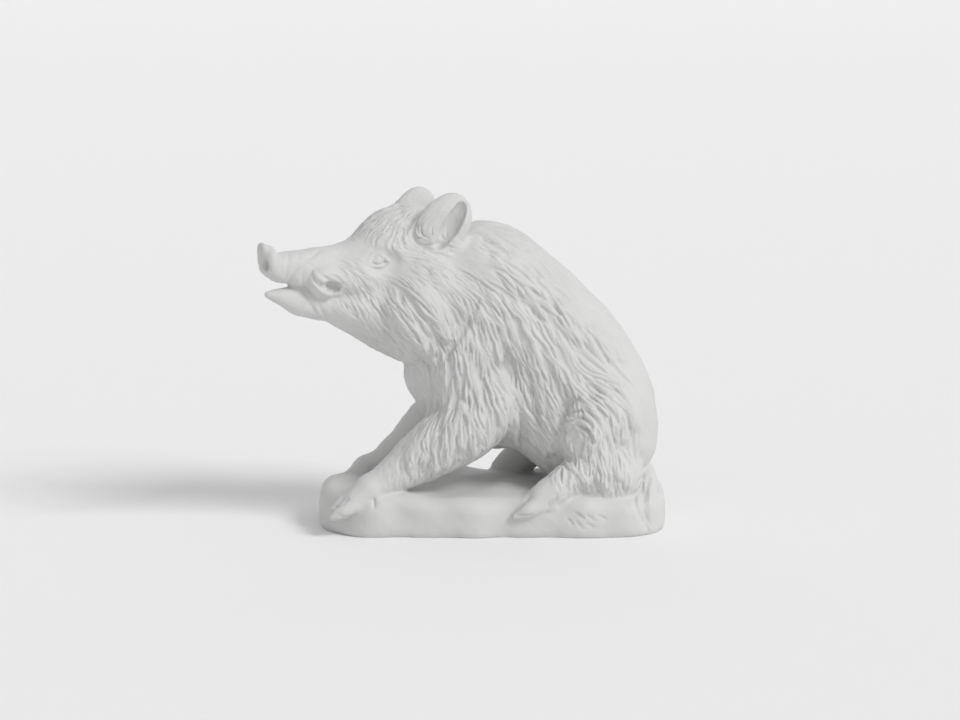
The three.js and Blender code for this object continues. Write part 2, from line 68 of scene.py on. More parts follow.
# The photograph's view: its size in pixels and in millimetres to a pixel, the pixel below the frame's
# origin, how far that lies below the table's height there, and the angle that it looks down at
FRAME_WIDTH = 960
FRAME_MIDDLE = (480, 360)
PIXEL = 0.4533
MIDDLE_COLUMN = 462.5
TABLE_ROW = 538.5
TABLE_DROP = 7.03
CAMERA_RISE = radians(10)

# The camera in metres: its distance, its sensor, and how much nearer than the origin the boar's side is
CAMERA_DISTANCE = 2.4
SENSOR = 0.036
NEAR_SIDE = 0.025
KEY_FROM = (0.95, -0.68, 0.95)

dice = np.random.default_rng(11)


# Smooth joins: two distances flow into each other over a width
def blend(a, b, width):
    overlap = np.maximum(width - np.abs(a - b), 0) / width
    return np.minimum(a, b) - overlap * overlap * width * 0.25


def carve(a, b, width):
    return -blend(-a, b, width)


def ball_distance(p, centre, radii, tilt, turn):
    q = p - centre
    x1 = q[:, 0] * cos(turn) + q[:, 1] * sin(turn)
    y = -q[:, 0] * sin(turn) + q[:, 1] * cos(turn)
    x = x1 * cos(tilt) + q[:, 2] * sin(tilt)
    z = -x1 * sin(tilt) + q[:, 2] * cos(tilt)
    rx, ry, rz = radii
    near = np.sqrt((x / rx) ** 2 + (y / ry) ** 2 + (z / rz) ** 2)
    slope = np.sqrt((x / rx**2) ** 2 + (y / ry**2) ** 2 + (z / rz**2) ** 2)
    return near * (near - 1) / np.maximum(slope, 1e-6)


# A tapering link between two balls, each x, y, z and radius
def link_distance(p, a, b):
    length = np.linalg.norm(b[:3] - a[:3])
    unit = (b[:3] - a[:3]) / length
    taper = np.clip((b[3] - a[3]) / length, -0.95, 0.95)
    lean = taper / np.sqrt(1 - taper * taper)
    q = p - a[:3]
    along = q @ unit
    off = np.sqrt(np.maximum((q * q).sum(1) - along * along, 0))
    t = np.clip((along + off * lean) / length, 0, 1)
    return np.hypot(off, along - t * length) - (a[3] + (b[3] - a[3]) * t)


# Points of a smooth curve through rows of x, y, z and radius
def smooth_rows(rows, parts):
    rows = np.array(rows, float)
    if len(rows) == 2:
        return rows
    ends = np.vstack([2 * rows[0] - rows[1], rows, 2 * rows[-1] - rows[-2]])
    t = (np.arange(parts) / parts)[:, None]
    out = []
    for a, b, c, d in zip(ends[:-3], ends[1:-2], ends[2:-1], ends[3:]):
        square = 2 * a - 5 * b + 4 * c - d
        cube = 3 * b - a - 3 * c + d
        out.append(0.5 * (2 * b + (c - a) * t + square * t**2 + cube * t**3))
    return np.vstack(out + [rows[-1:]])


class Clay:
    """Forms in order, each added to what is there or cut from it."""

    def __init__(self):
        self.forms = []

    def put(self, distance, low, high, width, cut):
        pad = width + (3 if cut else 8)
        self.forms.append((distance, low - pad, high + pad, width, cut))

    def ball(self, centre, radii, width, tilt=0, turn=0, cut=False):
        centre = np.array(centre, float)
        reach = max(radii)
        lean, swing = radians(tilt), radians(turn)
        distance = lambda p: ball_distance(p, centre, radii, lean, swing)
        self.put(distance, centre - reach, centre + reach, width, cut)

    def limb(self, rows, width, cut=False, parts=4):
        points = smooth_rows(rows, parts)

        def distance(p):
            nearest = np.full(len(p), 1e3)
            for a, b in zip(points[:-1], points[1:]):
                nearest = np.minimum(nearest, link_distance(p, a, b))
            return nearest

        low = (points[:, :3] - points[:, 3:]).min(0)
        high = (points[:, :3] + points[:, 3:]).max(0)
        self.put(distance, low, high, width, cut)

    def at(self, p, start=None):
        value = np.full(len(p), 60.0) if start is None else start
        x, y, z = np.ascontiguousarray(p.T)
        for distance, low, high, width, cut in self.forms:
            in_plan = (x > low[0]) & (x < high[0]) & (y > low[1]) & (y < high[1])
            near = np.nonzero(in_plan & (z > low[2]) & (z < high[2]))[0]
            if len(near) == 0:
                continue
            own = distance(p[near])
            value[near] = carve(value[near], own, width) if cut else blend(value[near], own, width)
        return value


# The ground slab: a rounded block with a gently lumpy top and edge, sunk a little below the table
def slab_distance(p):
    x, y, z = p.T
    along = np.clip((x - SLAB["middle"]) / 60, -1, 1)
    corner = SLAB["corner"] - 3 * along
    half_width = SLAB["width"] / 2 + 0.8 * np.sin(x * 0.115 + 1.3) + 0.5 * np.sin(x * 0.26)
    lump = 0.8 * np.sin(x * 0.09 + y * 0.07 + 0.6) + 0.5 * np.sin(x * 0.21 - y * 0.16 + 1.7)
    qx = np.abs(x - SLAB["middle"]) - (SLAB["length"] / 2 - corner)
    qy = np.abs(y) - (half_width - corner)
    plan = np.hypot(np.maximum(qx, 0), np.maximum(qy, 0)) + np.minimum(np.maximum(qx, qy), 0) - corner
    top = SLAB["height"] + lump
    depth = np.abs(z - (top - SLAB["sunk"]) / 2) - (top + SLAB["sunk"]) / 2
    edge = SLAB["edge"]
    a = np.maximum(plan + edge, 0)
    b = np.maximum(depth + edge, 0)
    return np.hypot(a, b) + np.minimum(np.maximum(plan, depth) + edge, 0) - edge


# Head, in its own axes: forward to the snout, out to the side, and up from the middle of the eyes
def build_skull():
    skull = Clay()
    skull.ball([17.5, 0, 2.8], [23, 17.5, 19.6], 4)
    skull.ball([30, 0, 1.0], [15, 15, 12.6], 7, tilt=-15)
    skull.ball([41, 0, -9], [14, 14, 11.8], 8)
    skull.limb([[34, 0, -3, 10.8], [50, 0, -3.5, 9.6], [66, 0, -3.0, 7.9], [80, 0, -2.7, 6.8]], 6)
    for side in SIDES:
        skull.limb([[42, side * 7, -8, 8], [56, side * 6, -9.5, 6.2], [70, side * 3.4, -7.5, 4.4]], 5)
    # snout disc and its peaked upper rim
    skull.ball([85.4, 0, 0.5], [4.1, 8.2, 7.1], 1.6)
    skull.ball([88.0, 0, 5.4], [1.9, 4.2, 3.4], 1.4)
    # open lips, then the lower jaw
    skull.limb([[97, 0, -12.3, 5.2], [87, 0, -11.9, 3.4], [79, 0, -11.5, 1.2]], 1, cut=True)
    skull.limb([[85.6, 0, -14.6, 1.6], [78, 0, -16.4, 4.2], [69, 0, -18.8, 6.8], [54, 0, -19.8, 9.8],
                [42, 0, -22.0, 13.8], [26, 0, -25.8, 18.8], [14, 0, -29, 21.5]], 2.5)
    # cheek ruff
    for side in SIDES:
        skull.ball([12, side * 12, -22], [23, 16.5, 28], 5, tilt=12)
    return skull


skull = build_skull()
cheeks = {}


# A place a little above or below the head's surface, found from the side view
def on_cheek(side, forward, up, lift, radius=None):
    if (forward, up) not in cheeks:
        outs = np.arange(34, 0, -0.1)
        line = np.stack([np.full_like(outs, forward), outs, np.full_like(outs, up)], 1)
        cheeks[forward, up] = outs[np.argmax(skull.at(line) < 0)]
    place = [forward, side * (cheeks[forward, up] + lift), up]
    return place if radius is None else place + [radius]


def add_mouth(head, side):
    on = lambda *place: on_cheek(side, *place)
    slot = [on(73, -11.6, 0.2, 0.85), on(68, -12.2, 0.3, 0.8), on(64.5, -14.2, 0.2, 0.7)]
    head.limb([[80, side * 2.6, -11.3, 1.0], *slot], 0.8, cut=True)
    head.ball([89.0, side * 4.1, -0.6], [3.8, 2.2, 2.8], 0.8, cut=True)


def add_tusk(head, side):
    on = lambda *place: on_cheek(side, *place)
    head.ball(on(60.5, -9.4, -2.6), [9.2, 4.9, 7.2], 1.6)
    head.ball(on(61.2, -9.2, 3.4), [7.0, 3.2, 5.0], 0.9, cut=True, tilt=-8)
    head.ball(on(58.4, -11.4, 2.2), [4.4, 4.0, 2.7], 0.9, cut=True, tilt=-8)
    head.limb([on(66.6, -4.4, 0.6, 1.0), on(64.6, -6.8, 0.9, 1.6), on(62.2, -9.2, 0.6, 1.3)], 0.7)


def add_eye(head, side):
    on = lambda *place: on_cheek(side, *place)
    head.ball(on(36.6, -0.4, 2.0), [8.0, 3.2, 5.2], 3, cut=True)
    head.ball(on(36.9, -0.8, -2.55), [3.3, 2.9, 2.3], 0.6)
    head.limb([on(41.6, -1.4, -1.0, 0.5), on(39.4, 0.9, -0.8, 0.7), on(36.4, 1.7, -0.75, 0.75),
               on(32.6, -0.9, -0.8, 0.5)], 0.8)
    head.limb([on(41.3, -1.8, -1.1, 0.5), on(38.4, -2.9, -1.1, 0.6), on(35, -3.0, -1.1, 0.6),
               on(32.6, -1.4, -1.1, 0.45)], 0.8)


def add_ear(head, side):
    drop = 0 if side > 0 else 1.8
    lean = dict(tilt=34, turn=-side * 12)
    head.ball([7.2, side * 17.4, 13.4 - drop], [11.8, 5.4, 16.9], 3, **lean)
    head.ball([4.6, side * 21.9, 14.8 - drop], [4.3, 5.2, 13.2], 1, cut=True, **lean)


def build_head():
    head = build_skull()
    for side in SIDES:
        add_mouth(head, side)
        add_tusk(head, side)
        add_eye(head, side)
        add_ear(head, side)
    return head


def build_trunk():
    trunk = Clay()
    # back from neck to rump, then chest and belly
    trunk.limb([[-6, 0, 106, 26], [8, 0, 112.5, 26.8], [20, 0, 104.5, 27.2], [39.3, 0, 84.5, 29.2],
                [50.3, 0, 69, 30.4], [57.5, 0, 53, 31.2], [58, 0, 45, 29.8]], 8)
    trunk.limb([[-4, 0, 71, 23], [6, 0, 61, 24.5], [28, 0, 60, 26], [45, 0, 56, 26]], 10)
    for side in SIDES:
        out = -side
        trunk.ball([3, out * 15, 80], [20, 15.5, 34], 5, tilt=-8)
        trunk.ball([65, out * 15, 50], [23.5, 18, 31], 5, tilt=15)
        trunk.ball([57.5, out * 27, 46], [14, 11, 17.5], 3, tilt=8)
        trunk.ball([64, out * 26.5, 26], [17.5, 11.5, 15], 4)
    return trunk


def add_legs(trunk):
    # near foreleg, far foreleg, far hind leg
    trunk.limb([[12, -20, 58, 15.5], [0, -22, 47, 15], [-15, -24.5, 37.5, 12.6], [-30, -28, 27.8, 8.6],
                [-42, -31, 21.6, 6.0]], 5)
    trunk.limb([[8, 18, 58, 14], [-12, 18, 46.5, 11.2], [-25, 18.5, 35, 8.2], [-36, 20.5, 25.8, 5.9],
                [-45.6, 22, 20.8, 4.6]], 5)
    trunk.limb([[48, 22, 38, 13], [36, 26, 32, 10.5], [26.5, 28.5, 25.5, 7.4], [17.5, 30, 19.6, 4.2]], 4)


# Two toes side by side below a fetlock, with two small dewclaws behind
def add_foot(clay, fetlock, knuckle, tip, spread, girth):
    ankle, joint, end, gap = [np.array(v, float) for v in (fetlock, knuckle, tip, spread)]
    clay.limb([[*ankle, girth * 1.15], [*joint, girth]], 2)
    for side in SIDES:
        root = joint + side * 0.55 * gap
        middle = (joint + end) / 2 + side * 0.75 * gap
        point = end + side * 0.55 * gap
        clay.limb([[*root, girth * 0.72], [*middle, girth * 0.62], [*point, girth * 0.28]], 1)
        claw = ankle + side * 1.25 * gap - [0, 0, girth * 0.5]
        claw_end = claw + 0.3 * (joint - ankle)
        clay.limb([[*claw, girth * 0.34], [*claw_end, girth * 0.24]], 0.8)


# Feet and tail, with the near hind shank that the coat covers or without it
def build_feet_and_tail(shank):
    feet = Clay()
    add_foot(feet, [-42, -31.5, 20.8], [-48.5, -34, 16.6], [-58.5, -37.5, 11.2], [0.6, 3.6, 2.4], 5.6)
    add_foot(feet, [-44, 22, 21], [-47.5, 23, 19.2], [-54, 25, 16.5], [0.8, 3, 0.5], 4.6)
    if shank:
        feet.limb([[54, -29, 28, 9], [48, -32, 25, 8.2], [40, -34.5, 20.5, 6.6]], 1.5)
        add_foot(feet, [42, -34.5, 20.8], [36, -36.2, 18], [24.5, -39, 12], [0.8, 3.2, 2.6], 6)
    add_foot(feet, [29, 28.5, 23.5], [23, 29.5, 20.6], [13.5, 30.5, 17.6], [0.8, 3.2, 0.5], 5)
    # tail
    feet.limb([[78, -3, 31, 3], [82.6, -11, 27.5, 4], [84, -20, 22.5, 4.6], [84, -27.5, 13, 4.2],
               [84, -32, 3, 1.5]], 1.5)
    return feet


head = build_head()
trunk = build_trunk()
add_legs(trunk)
feet = build_feet_and_tail(shank=True)
bare_feet = build_feet_and_tail(shank=False)


def to_head(p):
    q = p - HEAD_PIVOT
    forward = -q[:, 0] * cos(HEAD_TURN) - q[:, 1] * sin(HEAD_TURN)
    side = q[:, 0] * sin(HEAD_TURN) - q[:, 1] * cos(HEAD_TURN)
    return np.stack([forward, side, q[:, 2]], 1)


def from_head(q):
    x = -q[:, 0] * cos(HEAD_TURN) + q[:, 1] * sin(HEAD_TURN)
    y = -q[:, 0] * sin(HEAD_TURN) - q[:, 1] * cos(HEAD_TURN)
    return np.stack([x, y, q[:, 2]], 1) + HEAD_PIVOT


def smooth_boar(p):
    value = blend(trunk.at(p), head.at(to_head(p)), 4)
    value = blend(value, slab_distance(p), 2)
    return feet.at(p, value)


def unit(v):
    return v / np.maximum(np.linalg.norm(v, axis=-1, keepdims=True), 1e-9)


def slope_at(field, p, step=0.6):
    axes = np.eye(3) * step
    values = field(np.concatenate([p + a for a in axes] + [p - a for a in axes]))
    values = values.reshape(6, len(p))
    return unit((values[:3] - values[3:]).T)


# The way the solid's locks lie, seen from the side: a place and the direction of the hair there
LOCK_WAYS = np.array([
    [-37, 141, 0.65, 0.76], [-24, 130, 0.9, -0.3], [-33, 112, 0.56, -0.83], [-15, 107, 0.55, -0.83],
    [-1, 118, 0.7, -0.7], [-28, 93, 0.72, -0.7], [-15, 84, 0.45, -0.9], [8, 122, 0.5, -0.86],
    [8, 90, 0.22, -0.97], [-10, 60, 0.08, -1], [-15, 42, -0.05, -1], [8, 47, 0.12, -1],
    [30, 90, 0.42, -0.91], [30, 47, 0.35, -0.93], [35, 118, 0.6, -0.8], [62, 92, 0.6, -0.8],
    [62, 72, 0.8, -0.6], [74, 60, 0.4, -0.92], [44, 50, -0.1, -1], [76, 45, 0.1, -1], [62, 28, 0.15, -0.98],
])

# Rows of locks: where the roots start and end, then how many locks, how long and how wide
FRINGES = dict(
    ruff=([-5, 124], [-34, 100], 6, 26, 3.6),
    mane=([13, 130], [64, 88], 8, 19, 3.2),
    throat=([-20, 76], [0, 84], 4, 22, 3.2),
    shoulder=([6, 108], [26, 100], 4, 26, 3.6),
    flank=([22, 78], [46, 74], 4, 25, 3.6),
    elbow=([-8, 58], [12, 56], 4, 18, 3.2),
    foreleg=([-24, 46], [-4, 42], 4, 11, 2.6),
    belly=([22, 54], [40, 50], 4, 15, 3.0),
    thigh=([50, 66], [72, 66], 4, 21, 3.4),
    shank=([52, 40], [74, 38], 5, 13, 2.8),
)


def lock_way(p):
    apart = ((p[:, None, [0, 2]] - LOCK_WAYS[None, :, :2]) ** 2).sum(2)
    flat = np.exp(-apart / (2 * COAT_REACH**2)) @ LOCK_WAYS[:, 2:]
    return unit(np.stack([flat[:, 0], np.zeros(len(p)), flat[:, 1]], 1))


# All the solid's locks at once, laid on the surface along their way
def build_coat():
    roots = []
    for side in SIDES:
        for start, end, count, length, girth in FRINGES.values():
            for i in range(count):
                share = (i + 0.5) / count
                x = start[0] + (end[0] - start[0]) * share
                z = start[1] + (end[1] - start[1]) * share + (2 if i % 2 else -2)
                roots.append([x, side, z, length, girth])
    roots = np.array(roots, float)
    outs = np.arange(60, 0, -0.5)
    place = np.repeat(roots[:, None, :3], len(outs), 1)
    place[:, :, 1] *= outs
    inside = smooth_boar(place.reshape(-1, 3)).reshape(len(roots), -1) <= 0
    place = place[np.arange(len(roots)), inside.argmax(1)]
    rows = []
    for i in range(LOCK_STRIDES + 1):
        out = slope_at(smooth_boar, place)
        place = place - out * smooth_boar(place)[:, None]
        share = i / LOCK_STRIDES
        radius = roots[:, 4] * (0.25 + 0.75 * sin(pi * (0.12 + 0.83 * share)))
        lift = LOCK_RISE * (0.3 + 0.7 * share) - radius
        rows.append(np.column_stack([place + out * lift[:, None], radius]))
        way = lock_way(place)
        way = unit(way - out * (way * out).sum(1)[:, None])
        place = place + way * (roots[:, 3] / LOCK_STRIDES)[:, None]
    coat = Clay()
    for lock in np.array(rows).transpose(1, 0, 2):
        coat.limb(lock, LOCK_FLOW, parts=2)
    return coat


coat = build_coat()


def boar(p):
    return coat.at(p, smooth_boar(p))


# Surface of a field as squares, one point to each cell that it crosses
def surface_of(field):
    counts = np.ceil((REACH_HIGH - REACH_LOW) / CELL).astype(int) + 1
    values = near_values(field, counts)
    corner_steps = [(i, j, k) for i in (0, 1) for j in (0, 1) for k in (0, 1)]
    span = [slice(0, n - 1) for n in counts]
    view = lambda s: values[tuple(slice(a.start + d, a.stop + d) for a, d in zip(span, s))]
    inside = sum((view(s) < 0).astype(np.int8) for s in corner_steps)
    crossed = (inside > 0) & (inside < 8)
    cells = np.argwhere(crossed)
    number = np.full(crossed.shape, -1)
    number[crossed] = np.arange(len(cells))
    total = np.zeros((len(cells), 3))
    hits = np.zeros((len(cells), 1))
    at = {s: values[tuple((cells + s).T)] for s in corner_steps}
    for a in corner_steps:
        for axis in range(3):
            if a[axis]:
                continue
            b = tuple(v + (i == axis) for i, v in enumerate(a))
            cut = (at[a] < 0) != (at[b] < 0)
            share = at[a] / np.where(cut, at[a] - at[b], 1)
            place = cells + np.array(a, float)
            place[:, axis] += share
            total[cut] += place[cut]
            hits[cut] += 1
    places = REACH_LOW + CELL * total / hits
    squares = []
    for axis in range(3):
        u, v = [(1, 2), (2, 0), (0, 1)][axis]
        step = np.eye(3, dtype=int)
        lower = np.argwhere((values < 0) != np.roll(values < 0, -1, axis))
        lower = lower[(lower[:, axis] < counts[axis] - 1) & (lower[:, u] > 0) & (lower[:, v] > 0)]
        ring = [lower - step[u] - step[v], lower - step[v], lower, lower - step[u]]
        ring = np.stack([number[tuple(r.T)] for r in ring], 1)
        going_out = values[tuple(lower.T)] < 0
        ring[~going_out] = ring[~going_out][:, ::-1]
        squares.append(ring)
    return places, np.vstack(squares)


# Field values on the grid: everywhere roughly, and exactly near the surface
def near_values(field, counts, stride=4, band=9.0):
    rough_counts = (counts + stride - 1) // stride + 1
    rough = np.stack(np.meshgrid(*[np.arange(n) * stride for n in rough_counts], indexing="ij"), -1)
    rough_values = field(REACH_LOW + CELL * rough.reshape(-1, 3)).reshape(rough_counts)
    index = np.stack(np.meshgrid(*[np.arange(n) for n in counts], indexing="ij"), -1).reshape(-1, 3)
    nearest = (index + stride // 2) // stride
    values = rough_values[tuple(nearest.T)]
    close = np.abs(values) < band
    values[close] = field(REACH_LOW + CELL * index[close])
    values = np.where(np.abs(values) < 1e-4, 1e-4, values)
    return values.reshape(counts)


def halves_of(squares):
    return np.vstack([squares[:, [0, 1, 2]], squares[:, [0, 2, 3]]])


# Each triangle in four, with shared middles
def finer(places, triangles):
    sides = np.vstack([triangles[:, [0, 1]], triangles[:, [1, 2]], triangles[:, [2, 0]]])
    sides.sort(1)
    keys, where = np.unique(sides[:, 0] * len(places) + sides[:, 1], return_inverse=True)
    ends = np.stack([keys // len(places), keys % len(places)], 1)
    middles = places[ends].mean(1)
    ab, bc, ca = (where.reshape(3, -1) + len(places))
    a, b, c = triangles.T
    quarters = [(a, ab, ca), (ab, b, bc), (ca, bc, c), (ab, bc, ca)]
    return np.vstack([places, middles]), np.vstack([np.stack(q, 1) for q in quarters])


def normals_of(places, triangles):
    a, b, c = [places[triangles[:, i]] for i in range(3)]
    across = np.cross(b - a, c - a)
    total = np.zeros_like(places)
    for corner in range(3):
        for axis in range(3):
            total[:, axis] += np.bincount(triangles[:, corner], across[:, axis], len(places))
    return unit(total)


def settle(field, places, triangles, rounds):
    for _ in range(rounds):
        out = normals_of(places, triangles)
        step = np.clip(field(places), -0.5, 0.5)
        places = places - out * step[:, None]
    return places


# Pixel of the photograph where a place is seen
def pixel_of(p):
    column = MIDDLE_COLUMN + p[:, 0] / PIXEL
    rise = p[:, 2] * cos(CAMERA_RISE) + TABLE_DROP + p[:, 1] * sin(CAMERA_RISE)
    return np.stack([column, TABLE_ROW - rise / PIXEL], 1)


# First place of the surface that is seen through a pixel
def seen_at(pixels):
    pixels = np.array(pixels, float)
    depths = np.arange(-48, 30, 0.4)
    x = np.repeat((pixels[:, :1] - MIDDLE_COLUMN) * PIXEL, len(depths), 1)
    y = np.repeat(depths[None], len(pixels), 0)
    rise = (TABLE_ROW - pixels[:, 1:]) * PIXEL - TABLE_DROP
    z = (rise - y * sin(CAMERA_RISE)) / cos(CAMERA_RISE)
    line = np.stack([x, y, z], 2)
    hit = (boar(line.reshape(-1, 3)).reshape(x.shape) < 0).argmax(1)
    return line[np.arange(len(pixels)), hit]


def in_head(p):
    return head.at(to_head(p)) < trunk.at(p)


# The same place on the left side, which the photograph shows
def left_twin(p, of_head):
    twin = p.copy()
    twin[:, 1] = -np.abs(twin[:, 1])
    local = to_head(p[of_head])
    local[:, 1] = np.abs(local[:, 1])
    twin[of_head] = from_head(local)
    return twin


